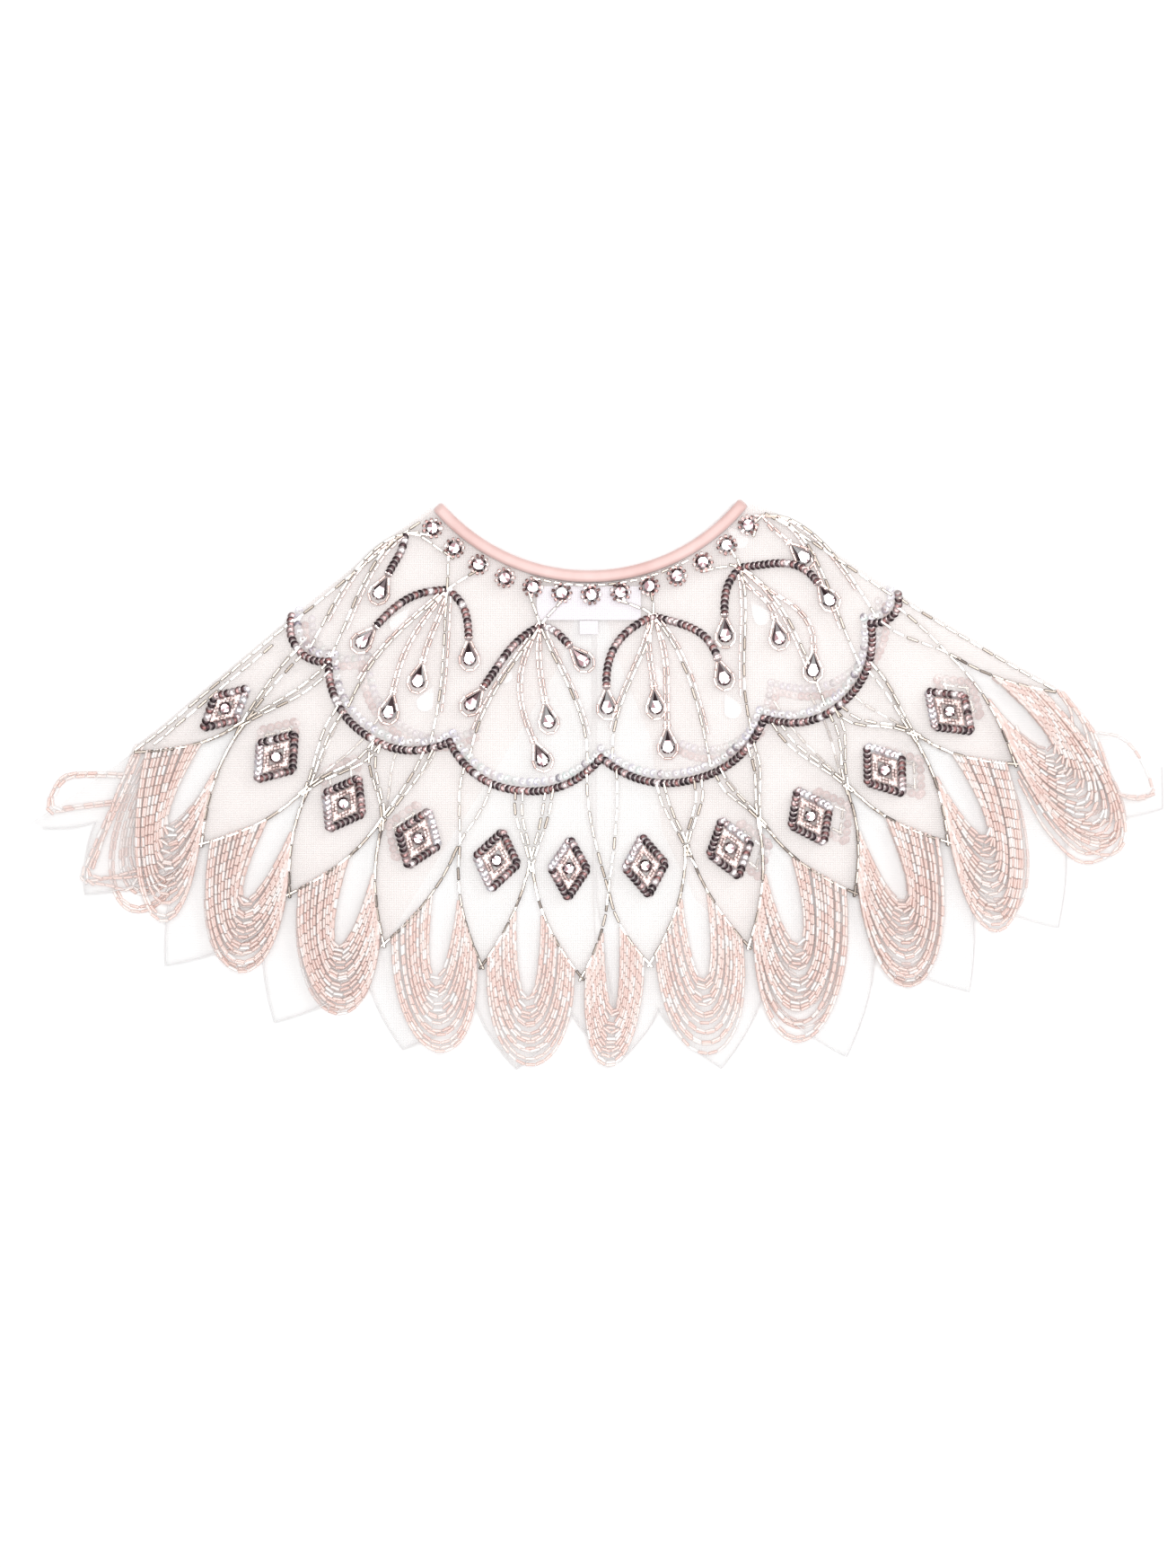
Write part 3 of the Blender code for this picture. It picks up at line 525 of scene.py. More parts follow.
links.new(shades.outputs["Result"], pinks.inputs["Factor"])
links.new(pinks.outputs["Result"], shader.inputs["Base Color"])
links.new(weave.outputs["Fac"], relief.inputs["Height"])
links.new(relief.outputs["Normal"], shader.inputs["Normal"])
satin_binding.data.materials.append(satin)
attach(satin_binding, "root")
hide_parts("neck_binding")

# Label. A blank woven label with a small folded tab below it, sewn inside the centre back under the
# binding. It lies between the two linings and shows white through the front.
LABEL_LOW = 0.0036
LABEL_HIGH = 0.0044
Tag = namedtuple("Tag", "angle radius width height")
TAGS = (Tag(0.0, 0.1105, 0.0510, 0.0165), Tag(-0.0030, 0.1225, 0.0090, 0.0065))

mesh = bmesh.new()
for tag in TAGS:
    middle = Matrix.Translation((*spot(tag.angle, tag.radius), (LABEL_LOW + LABEL_HIGH) / 2))
    bmesh.ops.create_cube(mesh, size=1.0, matrix=(
        middle @ Matrix.Diagonal((tag.width, tag.height, LABEL_HIGH - LABEL_LOW, 1.0))))
woven_label = place_mesh("woven_label", mesh, smooth=False)
label_cloth, nodes, shader = new_material("woven_label_white", (0.86, 0.83, 0.89), 0.6)
woven_label.data.materials.append(label_cloth)
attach(woven_label, "root")
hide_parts("label", "label_tab")

# Threaded beads. Bugles, seed beads and sequins all go on thread along drawn lines, so one bead
# repeats along every line. Each bead gets a random tone: partly its own colour, and on the silver-lined, cream, plum
# and blush beads partly painted highlight, as no two take the light alike.
SEQUIN_RADIUS = 0.0021
SEQUIN_HOLE = 0.0006
SEQUIN_SIDES = 12
SEQUIN_PITCH = 0.0024
SEQUIN_LEAN = 0.24
SEQUIN_GLINT = 0.0008


def bead_tree():
    """Beads threaded along every path of the mesh that carries the modifier."""
    tree = bpy.data.node_groups.new("threaded_beads", "GeometryNodeTree")
    face = tree.interface
    face.new_socket("Geometry", in_out="INPUT", socket_type="NodeSocketGeometry")
    face.new_socket("Bead", in_out="INPUT", socket_type="NodeSocketObject")
    face.new_socket("Pitch", in_out="INPUT", socket_type="NodeSocketFloat")
    face.new_socket("Lean", in_out="INPUT", socket_type="NodeSocketFloat")
    face.new_socket("Tilt", in_out="INPUT", socket_type="NodeSocketFloat")
    face.new_socket("Seed", in_out="INPUT", socket_type="NodeSocketInt")
    face.new_socket("Finish", in_out="INPUT", socket_type="NodeSocketMaterial")
    face.new_socket("Geometry", in_out="OUTPUT", socket_type="NodeSocketGeometry")
    nodes, links = tree.nodes, tree.links
    given = nodes.new("NodeGroupInput")
    thread = nodes.new("GeometryNodeMeshToCurve")
    places = nodes.new("GeometryNodeResampleCurve")
    places.mode = "LENGTH"
    links.new(given.outputs["Geometry"], thread.inputs["Mesh"])
    links.new(thread.outputs["Curve"], places.inputs["Curve"])
    links.new(given.outputs["Pitch"], places.inputs["Length"])
    bead = nodes.new("GeometryNodeObjectInfo")
    bead.inputs["As Instance"].default_value = True
    links.new(given.outputs["Bead"], bead.inputs["Object"])
    tangent = nodes.new("GeometryNodeInputTangent")
    facing = nodes.new("FunctionNodeAlignRotationToVector")
    facing.axis = "X"
    facing.pivot_axis = "Z"
    links.new(tangent.outputs["Tangent"], facing.inputs["Vector"])
    lean = nodes.new("ShaderNodeCombineXYZ")
    links.new(given.outputs["Lean"], lean.inputs["Y"])
    leaning = nodes.new("FunctionNodeRotateRotation")
    leaning.rotation_space = "LOCAL"
    links.new(facing.outputs["Rotation"], leaning.inputs["Rotation"])
    links.new(lean.outputs["Vector"], leaning.inputs["Rotate By"])
    lowest = nodes.new("ShaderNodeMath")
    lowest.operation = "MULTIPLY"
    lowest.inputs[1].default_value = -1.0
    links.new(given.outputs["Tilt"], lowest.inputs[0])
    wobble = nodes.new("FunctionNodeRandomValue")
    wobble.data_type = "FLOAT_VECTOR"
    links.new(lowest.outputs["Value"], wobble.inputs["Min"])
    links.new(given.outputs["Tilt"], wobble.inputs["Max"])
    links.new(given.outputs["Seed"], wobble.inputs["Seed"])
    turned = nodes.new("FunctionNodeRotateRotation")
    turned.rotation_space = "LOCAL"
    links.new(leaning.outputs["Rotation"], turned.inputs["Rotation"])
    links.new(wobble.outputs["Value"], turned.inputs["Rotate By"])
    laid = nodes.new("GeometryNodeInstanceOnPoints")
    links.new(places.outputs["Curve"], laid.inputs["Points"])
    links.new(bead.outputs["Geometry"], laid.inputs["Instance"])
    links.new(turned.outputs["Rotation"], laid.inputs["Rotation"])
    shade = nodes.new("FunctionNodeRandomValue")
    shade.data_type = "FLOAT"
    links.new(given.outputs["Seed"], shade.inputs["Seed"])
    tone = nodes.new("GeometryNodeStoreNamedAttribute")
    tone.data_type = "FLOAT"
    tone.domain = "INSTANCE"
    tone.inputs["Name"].default_value = "tone"
    links.new(laid.outputs["Instances"], tone.inputs["Geometry"])
    links.new(shade.outputs["Value"], tone.inputs["Value"])
    solid = nodes.new("GeometryNodeRealizeInstances")
    links.new(tone.outputs["Geometry"], solid.inputs["Geometry"])
    surface = nodes.new("GeometryNodeSetMaterial")
    links.new(solid.outputs["Geometry"], surface.inputs["Geometry"])
    links.new(given.outputs["Finish"], surface.inputs["Material"])
    result = nodes.new("NodeGroupOutput")
    links.new(surface.outputs["Geometry"], result.inputs["Geometry"])
    return tree


def bugle_bead(name, length, radius, sides=6):
    """A short glass tube lying along X, its ends a little rounded in."""
    mesh = bmesh.new()
    rings = []
    for along, share in ((-0.5, 0.72), (-0.44, 1.0), (0.44, 1.0), (0.5, 0.72)):
        rings.append([mesh.verts.new((length * along, math.cos(math.tau * side / sides) * radius * share,
                                      math.sin(math.tau * side / sides) * radius * share))
                      for side in range(sides)])
    for ring, following in zip(rings, rings[1:]):
        for side in range(sides):
            after = (side + 1) % sides
            mesh.faces.new((ring[side], ring[after], following[after], following[side]))
    mesh.faces.new(rings[0])
    mesh.faces.new(rings[-1])
    bmesh.ops.recalc_face_normals(mesh, faces=mesh.faces)
    return place_mesh(name, mesh, smooth=False)


def cup_sequin(name, radius):
    """A cupped metal disc with a hole, sewn down with its rim towards the cloth."""
    mesh = bmesh.new()
    rings = []
    # Painted highlight: vertices under or just past the edge of the next sequin along the thread get a glint value,
    # which the foils paint paler.
    painted_glint_layer = mesh.verts.layers.float.new("painted_glint")
    for share, height in ((SEQUIN_HOLE / radius, 0.00042), (0.45, 0.00036), (0.72, 0.0002), (1.0, -0.00012)):
        rings.append([mesh.verts.new((math.cos(math.tau * side / SEQUIN_SIDES) * radius * share,
                                      math.sin(math.tau * side / SEQUIN_SIDES) * radius * share, height))
                      for side in range(SEQUIN_SIDES)])
        for vert in rings[-1]:
            past_next = math.hypot(vert.co.x - SEQUIN_PITCH, vert.co.y) - radius
            vert[painted_glint_layer] = min(1.0, max(0.0, 1 - past_next / SEQUIN_GLINT))
    for ring, following in zip(rings, rings[1:]):
        for side in range(SEQUIN_SIDES):
            after = (side + 1) % SEQUIN_SIDES
            mesh.faces.new((ring[side], following[side], following[after], ring[after]))
    return place_mesh(name, mesh, smooth=False)


def thread_beads(name, paths, bead, pitch, lean, tilt, seed, finish):
    """A piece made of one kind of bead threaded along paths."""
    verts, edges = [], []
    for path in paths:
        first = len(verts)
        closed = path[0] == path[-1]
        verts += path[:-1] if closed else path
        count = len(verts) - first
        edges += [(first + index, first + (index + 1) % count) for index in range(count if closed else count - 1)]
    data = bpy.data.meshes.new(name)
    data.from_pydata([tuple(vert) for vert in verts], edges, [])
    piece = bpy.data.objects.new(name, data)
    bpy.context.collection.objects.link(piece)
    threading = piece.modifiers.new("threading", "NODES")
    threading.node_group = beads_on_thread
    given = {item.name: item.identifier for item in beads_on_thread.interface.items_tree
             if item.in_out == "INPUT"}
    threading[given["Bead"]] = bead
    threading[given["Pitch"]] = pitch
    threading[given["Lean"]] = lean
    threading[given["Tilt"]] = tilt
    threading[given["Seed"]] = seed
    threading[given["Finish"]] = finish
    result = bpy.data.meshes.new_from_object(piece.evaluated_get(bpy.context.evaluated_depsgraph_get()))
    piece.modifiers.remove(threading)
    piece.data = result
    result.name = name
    return piece


def toned_material(name, stops, roughness, metallic, alpha=1.0, glint_colour=None):
    """A surface whose colour follows each bead's random tone, with a painted highlight where asked: paler about a
    sequin's hole, by the edge of the sequin that overlaps it.
    """
    material, nodes, shader = new_material(name, stops[0][1], roughness, metallic)
    tone = nodes.new("ShaderNodeAttribute")
    tone.attribute_name = "tone"
    ramp = nodes.new("ShaderNodeValToRGB")
    while len(ramp.color_ramp.elements) < len(stops):
        ramp.color_ramp.elements.new(0.5)
    for element, (position, colour) in zip(ramp.color_ramp.elements, stops):
        element.position = position
        element.color = (*colour, 1.0)
    material.node_tree.links.new(tone.outputs["Fac"], ramp.inputs["Fac"])
    colour = ramp.outputs["Color"]
    # Painted highlight: a sequin is mixed towards the pale glint colour by its painted glint value.
    if glint_colour:
        painted_glint = nodes.new("ShaderNodeAttribute")
        painted_glint.attribute_name = "painted_glint"
        about = nodes.new("ShaderNodeMix")
        about.data_type = "RGBA"
        about.inputs["B"].default_value = (*glint_colour, 1.0)
        material.node_tree.links.new(painted_glint.outputs["Fac"], about.inputs["Factor"])
        material.node_tree.links.new(colour, about.inputs["A"])
        colour = about.outputs["Result"]
    material.node_tree.links.new(colour, shader.inputs["Base Color"])
    shader.inputs["Alpha"].default_value = alpha
    return material


def bend(start, first, second, end, steps=16):
    """Plan places along a smooth line that leaves its start and meets its end by two handles."""
    line = []
    for step in range(steps + 1):
        way = step / steps
        back = 1 - way
        line.append(start * back ** 3 + first * (3 * back ** 2 * way) + second * (3 * back * way ** 2)
                    + end * way ** 3)
    return line


def on_front(line, up):
    """A plan line laid on the front of the net, raised by the beads' own half height."""
    return [(*place, front_net(*bearing(place)) + up) for place in line]


def on_back(line, down):
    """A plan line on the bead side of a back half, which faces the floor."""
    return [(*place, back_net(*bearing(place)) - down) for place in line]


beads_on_thread = bead_tree()
bugle = bugle_bead("bugle", 0.0062, 0.00070)
short_bugle = bugle_bead("short_bugle", 0.0040, 0.00062)
seed_bead = bugle_bead("seed_bead", 0.0014, 0.00085)
fringe_bugle = bugle_bead("fringe_bugle", 0.0046, 0.00074)
sequin = cup_sequin("sequin", SEQUIN_RADIUS)
# The random tones run from the beads' darker colours up to near white; the palest of them are painted highlights, for
# beads that catch the light.
silver_lined = toned_material("silver_lined_glass", (
    (0.0, (0.06, 0.048, 0.042)), (0.35, (0.17, 0.145, 0.125)), (0.65, (0.36, 0.32, 0.285)), (1.0, (0.82, 0.79, 0.75))),
    0.26, 0.8)
cream_glass = toned_material("cream_lined_glass", (
    (0.0, (0.15, 0.125, 0.105)), (0.30, (0.35, 0.31, 0.275)), (0.70, (0.56, 0.52, 0.475)), (1.0, (0.90, 0.88, 0.85))),
    0.26, 0.75)
rose_glass = toned_material("rose_lined_glass", (
    (0.0, (0.36, 0.24, 0.22)), (0.5, (0.62, 0.47, 0.435)), (1.0, (0.90, 0.80, 0.77))), 0.25, 0.5)
seed_tan = toned_material("tan_seed_glass", (
    (0.0, (0.34, 0.235, 0.22)), (0.5, (0.48, 0.36, 0.34)), (1.0, (0.66, 0.55, 0.53))), 0.35, 0.3)
# Painted highlights: each foil's last colour is its painted glint, mixed in near the hole, and the plum foil's palest
# tones stand in for sequins catching the light.
plum_foil = toned_material("plum_bronze_foil", (
    (0.0, (0.022, 0.014, 0.017)), (0.45, (0.050, 0.027, 0.030)), (0.75, (0.17, 0.080, 0.078)),
    (0.92, (0.42, 0.30, 0.30)), (1.0, (0.78, 0.72, 0.74))), 0.34, 0.85, glint_colour=(0.70, 0.60, 0.60))
pearl_foil = toned_material("iridescent_foil", (
    (0.0, (0.84, 0.78, 0.83)), (0.30, (0.74, 0.71, 0.86)), (0.50, (0.92, 0.86, 0.87)), (0.72, (0.74, 0.85, 0.82)),
    (0.86, (0.90, 0.78, 0.81)), (1.0, (0.10, 0.08, 0.14))), 0.22, 0.30, 0.60, glint_colour=(0.97, 0.95, 0.96))
smoke_foil = toned_material("smoky_clear_foil", (
    (0.0, (0.30, 0.20, 0.20)), (0.4, (0.62, 0.50, 0.52)), (0.75, (0.80, 0.76, 0.82)), (1.0, (0.95, 0.94, 0.96))),
    0.25, 0.7, glint_colour=(0.93, 0.90, 0.92))

# Scallops. Two rows of cup sequins couched side by side over the net, an iridescent row above a
# plum one, swagged from point to point across the front and again across the back halves.
SCALLOP_DIP = 0.0165
SCALLOP_ROW_GAP = 0.0046
Cusp = namedtuple("Cusp", "angle radius")
SCALLOP_CUSPS = (Cusp(-51.2, 0.1870), Cusp(-42.5, 0.1890), Cusp(-20.9, 0.1913), Cusp(1.9, 0.1865),
                 Cusp(27.2, 0.1880), Cusp(48.9, 0.1835), Cusp(55.0, 0.1850))
BACK_LEFT_CUSPS = (Cusp(-49.0, 0.1850), Cusp(-38.5, 0.1790), Cusp(-17.5, 0.1850))
BACK_RIGHT_CUSPS = (Cusp(13.0, 0.1860), Cusp(31.0, 0.1790), Cusp(52.5, 0.1840))


def scallop_radius(cusps, angle, dip):
    """Radius of a scalloped row at an angle."""
    for left, right in zip(cusps, cusps[1:]):
        if angle <= right.angle:
            break
    share = (angle - left.angle) / (right.angle - left.angle)
    depth = dip * min(1.0, (right.angle - left.angle) / 20.0)
    return left.radius + (right.radius - left.radius) * share + depth * (1 - abs(2 * share - 1) ** 2.3)


def scallop_row(cusps, inset, dip):
    """Plan places along each scallop of a row, one line from point to point."""
    lines = []
    for left, right in zip(cusps, cusps[1:]):
        angles = [left.angle + (right.angle - left.angle) * step / 24 for step in range(25)]
        lines.append([spot(angle, scallop_radius(cusps, angle, dip) - inset) for angle in angles])
    return lines


plum_lines = [on_front(line, 0.0009) for line in scallop_row(SCALLOP_CUSPS, 0.0, SCALLOP_DIP)]
pearl_lines = [on_front(line, 0.0009) for line in scallop_row(SCALLOP_CUSPS, SCALLOP_ROW_GAP, SCALLOP_DIP)]

# Diamonds. One to each petal: a lozenge of plum sequins round a smaller one of rose bugles, with a
# foiled stone in its middle. Those on the back halves show through as pale shapes.
DIAMOND_RING = 0.2410
DIAMOND_HALF_LENGTH = 0.0155
DIAMOND_HALF_WIDTH = 0.01125
DIAMOND_SEQUIN_PITCH = 0.0029
Diamond = namedtuple("Diamond", "angle radius breadth")
FRONT_DIAMONDS = (
    Diamond(-47.7, 0.2410, 0.75), Diamond(-39.5, 0.2410, 1.0), Diamond(-29.9, 0.2410, 1.0),
    Diamond(-20.3, 0.2410, 1.0), Diamond(-10.8, 0.2410, 1.0), Diamond(-2.3, 0.2410, 0.85),
    Diamond(6.6, 0.2410, 0.95), Diamond(16.7, 0.2410, 1.0), Diamond(26.8, 0.2410, 1.0),
    Diamond(37.0, 0.2410, 1.0), Diamond(47.2, 0.2410, 1.0),
)
BACK_DIAMONDS = (
    Diamond(-40.5, 0.2360, 1.0), Diamond(-31.5, 0.2330, 1.0), Diamond(-22.0, 0.2400, 0.9),
    Diamond(18.9, 0.2450, 0.95), Diamond(29.0, 0.2460, 1.0), Diamond(38.6, 0.2480, 1.0),
    Diamond(49.3, 0.2400, 0.9),
)


def lozenge(diamond, size):
    """Closed plan outline of a diamond, from corner to corner."""
    centre = spot(diamond.angle, diamond.radius)
    outward = (centre - CONE_POINT).normalized()
    across = Vector((-outward.y, outward.x))
    long_half = outward * (DIAMOND_HALF_LENGTH * size)
    short_half = across * (DIAMOND_HALF_WIDTH * size * diamond.breadth)
    corners = [centre - long_half, centre + short_half, centre + long_half, centre - short_half, centre - long_half]
    return corners


def lozenge_sides(diamond, size, trim):
    """The four sides of a diamond as lines of their own, cut back at the corners."""
    corners = lozenge(diamond, size)
    return [[here.lerp(after, trim), here.lerp(after, 1 - trim)] for here, after in zip(corners, corners[1:])]


dice = random.Random(29)
diamond_sequins, diamond_clear, diamond_bugles, diamond_seeds = [], [], [], []
for diamond in FRONT_DIAMONDS:
    clear_side = dice.randrange(4)
    for side, line in enumerate(lozenge_sides(diamond, 0.93, 0.07)):
        (diamond_clear if side == clear_side else diamond_sequins).append(on_front(line, 0.0009))
    diamond_bugles += [on_front(line, 0.0007) for line in lozenge_sides(diamond, 0.52, 0.10)]
    for size in (0.60, 0.44):
        diamond_seeds += [on_front(line, 0.0005) for line in lozenge_sides(diamond, size, 0.02)]

# Fans. From a point below the neck stones each fan drops two arcs of plum sequins and a few lines
# of bugles, each ending at a pear stone, and two long bugle lines that run on to the scallops.
PEAR_LENGTH = 0.0140
PEAR_WIDTH = 0.0088
Fan = namedtuple("Fan", "angle radius left_end right_end left_stone right_stone")
FANS = (
    Fan(-49.6, 0.1185, -46.0, -43.0, -46.0, -38.2), Fan(-33.7, 0.1253, -36.3, -23.6, -38.2, -30.5),
    Fan(-11.0, 0.1241, -17.5, -0.2, -15.0, -7.2), Fan(15.1, 0.1213, 3.6, 17.5, 8.4, 16.1),
    Fan(38.6, 0.1193, 25.0, 36.0, 31.7, 39.4), Fan(51.4, 0.1090, 43.6, 50.4, 47.2, 47.2),
)
Pendant = namedtuple("Pendant", "fan angle radius strung leave arrive")
PENDANTS = (
    Pendant(0, -44.5, 0.1450, "sequins", -4, -26), Pendant(1, -40.6, 0.1685, "sequins", -88, -42),
    Pendant(1, -29.6, 0.1685, "bugles", -12, -14), Pendant(1, -31.1, 0.1890, "bugles", -38, -12),
    Pendant(1, -23.4, 0.1476, "sequins", 56, 2), Pendant(2, -19.6, 0.1680, "sequins", -62, -36),
    Pendant(2, -1.8, 0.1373, "sequins", 78, 42), Pendant(2, -6.9, 0.1676, "bugles", -6, 10),
    Pendant(2, -7.3, 0.1868, "bugles", -32, 24), Pendant(3, 3.2, 0.1596, "sequins", -66, 2),
    Pendant(3, 11.6, 0.1626, "bugles", -18, 6), Pendant(3, 12.2, 0.1828, "bugles", 22, 2),
    Pendant(3, 24.3, 0.1593, "sequins", 74, 18), Pendant(4, 28.3, 0.1410, "sequins", -44, 2),
    Pendant(5, 50.2, 0.1351, "bugles", 34, 46), Pendant(4, 47.4, 0.1583, "sequins", 96, 34),
    Pendant(4, 36.5, 0.1560, "bugles", 6, 12), Pendant(4, 37.9, 0.1790, "bugles", 44, -2),
)
BACK_PENDANTS = (Diamond(-16.0, 0.1490, 1.0), Diamond(-26.8, 0.1760, 1.0), Diamond(12.9, 0.1500, 1.0),
                 Diamond(23.5, 0.1750, 1.0), Diamond(43.1, 0.1060, 1.0), Diamond(-38.0, 0.1500, 1.0),
                 Diamond(36.0, 0.1420, 1.0))


def heading(degrees):
    """Plan direction: 0 points from neck to hem, positive turns to the right."""
    return Vector((math.sin(math.radians(degrees)), -math.cos(math.radians(degrees))))


def pear_ring(centre, facing, length, width, steps=8):
    """Closed plan outline of a pear whose round end lies along its heading."""
    outward = heading(facing)
    across = Vector((-outward.y, outward.x))
    belly = centre + outward * (length / 2 - width / 2)
    ring = [centre - outward * (length / 2)]
    for step in range(steps + 1):
        turn = math.radians(-105 + 210 * step / steps)
        ring.append(belly + (outward * math.cos(turn) + across * math.sin(turn)) * (width / 2))
    return ring


def drop_line(fan, pendant):
    """Plan line from a fan's point to the point of a pear."""
    start = spot(fan.angle, fan.radius)
    end = spot(pendant.angle, pendant.radius) - heading(pendant.arrive) * (PEAR_LENGTH / 2 + 0.0012)
    reach = (end - start).length * 0.42
    leave = heading(pendant.leave)
    return bend(start + leave * 0.0015, start + leave * reach, end - heading(pendant.arrive) * reach, end)


def long_line(fan, stone_angle, end_angle):
    """Plan line from a neck stone through a fan's point and on down to the scallops."""
    stone = spot(stone_angle, NECK_STONE_RING + 0.0045)
    middle = spot(fan.angle, fan.radius)
    end = spot(end_angle, scallop_radius(SCALLOP_CUSPS, end_angle, SCALLOP_DIP) - SCALLOP_ROW_GAP - 0.002)
    through = ((middle - stone).normalized() * 0.5 + (end - middle).normalized() * 0.5).normalized()
    reach = (end - middle).length
    lower = bend(middle, middle + through * reach * 0.30, end - heading(end_angle * 0.6) * reach * 0.36, end)
    return bend(stone, stone.lerp(middle, 0.3), middle - through * (middle - stone).length * 0.35, middle)[:-1] + lower


NECK_STONE_RING = 0.1065
fan_sequins, fan_bugles, fan_silver = [], [], []
for pendant in PENDANTS:
    fan = FANS[pendant.fan]
    line = drop_line(fan, pendant)
    if pendant.strung == "sequins":
        fan_sequins.append(on_front(line, 0.0009))
    else:
        for shift in (-0.0009, 0.0009):
            fan_bugles.append(on_front([place + Vector((shift * min(1.0, 6 * step / len(line)), 0.0))
                                        for step, place in enumerate(line)], 0.0007))
for fan in FANS:
    for stone_angle, end_angle in ((fan.left_stone, fan.right_end), (fan.right_stone, fan.left_end)):
        line = long_line(fan, stone_angle, end_angle)
        fan_silver.append(on_front(line, 0.0007))
        aside = Vector((math.copysign(0.0021, end_angle - fan.angle), 0.0))
        fan_bugles.append(on_front([place + aside for place in line[16:-3]], 0.0006))

# Lattice. Silver-lined bugles run down from the scallops in pairs, cross at each notch between two
# petals and go on along the petals' sides to their points, where they edge the net.
Pair = namedtuple("Pair", "left right doubled")
LATTICE = (
    Pair(0.9, 2.5, True), Pair(1.9, 3.7, True), Pair(4.5, 1.2, True), Pair(2.2, 2.0, False), Pair(2.2, 0.8, True),
    Pair(2.5, 1.8, False), Pair(1.3, 2.8, True), Pair(2.4, 2.1, True), Pair(3.3, 3.2, True), Pair(4.7, 1.3, True),
    Pair(2.3, 0.8, False),
)


def side_line(tip, notch, fullness, inset, steps=14):
    """Plan line along a petal's side from notch to tip, set in from its edge."""
    line = []
    for step in range(steps + 1):
        angle, radius = petal_side(tip, notch, step / steps * 0.985, fullness)
        line.append(spot(angle + (tip[0] - angle) * inset, radius - 0.0008))
    return line


def lattice_line(row, tip, spread, cusps, dip, beside):
    """Plan line from the scallops to a notch and on down the side of one of its petals."""
    notch = (row.notch_angle, row.notch_radius)
    down = side_line(tip, notch, NET_FULLNESS, 0.04)
    start_angle = row.notch_angle + spread
    start = spot(start_angle, scallop_radius(cusps, start_angle, dip) + 0.002)
    meet = down[1]
    reach = (meet - start).length
    outward = (start - CONE_POINT).normalized()
    heading = (down[3] - down[1]).normalized()
    upper = bend(start, start + outward * reach * 0.35, meet - heading * reach * 0.35, meet, 12)
    across = Vector((-outward.y, outward.x)) * beside
    upper = [place + across for place in upper]
    return upper, down[2:]


lattice_upper, lattice_lower = [], []
for row, following, pair in zip(NET_PETALS, NET_PETALS[1:], LATTICE):
    for tip, spread, side in ((following[:2], -pair.left, -1), (row[:2], pair.right, 1)):
        upper, lower = lattice_line(row, tip, spread, SCALLOP_CUSPS, SCALLOP_DIP, 0.0)
        lattice_upper.append(on_front(upper, 0.0007))
        lattice_lower.append(on_front(lower, 0.0007))
        if pair.doubled:
            upper, lower = lattice_line(row, tip, spread + side * 0.55, SCALLOP_CUSPS, SCALLOP_DIP, side * 0.0016)
            lattice_upper.append(on_front(upper + lower[:5], 0.0007))

FoldLine = namedtuple("FoldLine", "from_radius to_radius column inset")
FOLD_LINES = (
    FoldLine(0.1120, 0.1850, "left_angle", 0.0030), FoldLine(0.1900, 0.2850, "left_angle", 0.0022),
    FoldLine(0.2060, 0.2760, "left_angle", 0.0052), FoldLine(0.1120, 0.1800, "right_angle", 0.0030),
    FoldLine(0.1890, 0.2720, "right_angle", 0.0022),
)
for row in FOLD_LINES:
    line = []
    for step in range(21):
        radius = row.from_radius + (row.to_radius - row.from_radius) * step / 20
        inward = math.degrees(row.inset / radius) * (1 if row.column == "left_angle" else -1)
        line.append(spot(read_row(SHOULDER_FOLDS, radius, row.column) + inward, radius))
    lattice_upper.append(on_front(line, 0.0006))

# Front embroidery pieces, threaded bead by bead from the lines above.
NECK_ROW_RADIUS = 0.1019
neck_row = [on_front([spot(-14.5 + step, NECK_ROW_RADIUS) for step in range(43)], 0.0007)]
front_beadwork = [
    thread_beads("plum_sequins", plum_lines + diamond_sequins + fan_sequins, sequin, SEQUIN_PITCH,
                 SEQUIN_LEAN, 0.10, 3, plum_foil),
    thread_beads("pearl_sequins", pearl_lines, sequin, 0.0036, 0.10, 0.16, 8, pearl_foil),
    thread_beads("diamond_clear_sequins", diamond_clear, sequin, SEQUIN_PITCH, SEQUIN_LEAN, 0.12, 4, smoke_foil),
    thread_beads("diamond_seed_beads", diamond_seeds, seed_bead, 0.0015, 0.0, 0.12, 14, seed_tan),
    thread_beads("diamond_bugles", diamond_bugles, short_bugle, 0.0042, 0.0, 0.03, 5, rose_glass),
    thread_beads("fan_bugles", fan_bugles, short_bugle, 0.0043, 0.0, 0.05, 6, rose_glass),
    thread_beads("fan_silver_bugles", fan_silver, bugle, 0.0065, 0.0, 0.04, 7, cream_glass),
    thread_beads("lattice_bugles", lattice_upper, bugle, 0.0065, 0.0, 0.04, 9, cream_glass),
    thread_beads("petal_edge_bugles", lattice_lower, bugle, 0.0065, 0.0, 0.04, 10, silver_lined),
    thread_beads("neck_row_bugles", neck_row, short_bugle, 0.0052, 0.0, 0.05, 11, cream_glass),
]
for piece in front_beadwork:
    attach(piece, "root")

# Stones. Foil-backed glass cut in facets: round ones in a row below the neck and one in each
# diamond, pears at the ends of the fans. Each sits in a ring of rose seed beads or bugles.
NECK_STONE_RADIUS = 0.0040
DIAMOND_STONE_RADIUS = 0.0034
Cut = namedtuple("Cut", "share height")
STONE_CUT = (Cut(1.0, 0.0006), Cut(0.95, 0.0012), Cut(0.68, 0.0021))


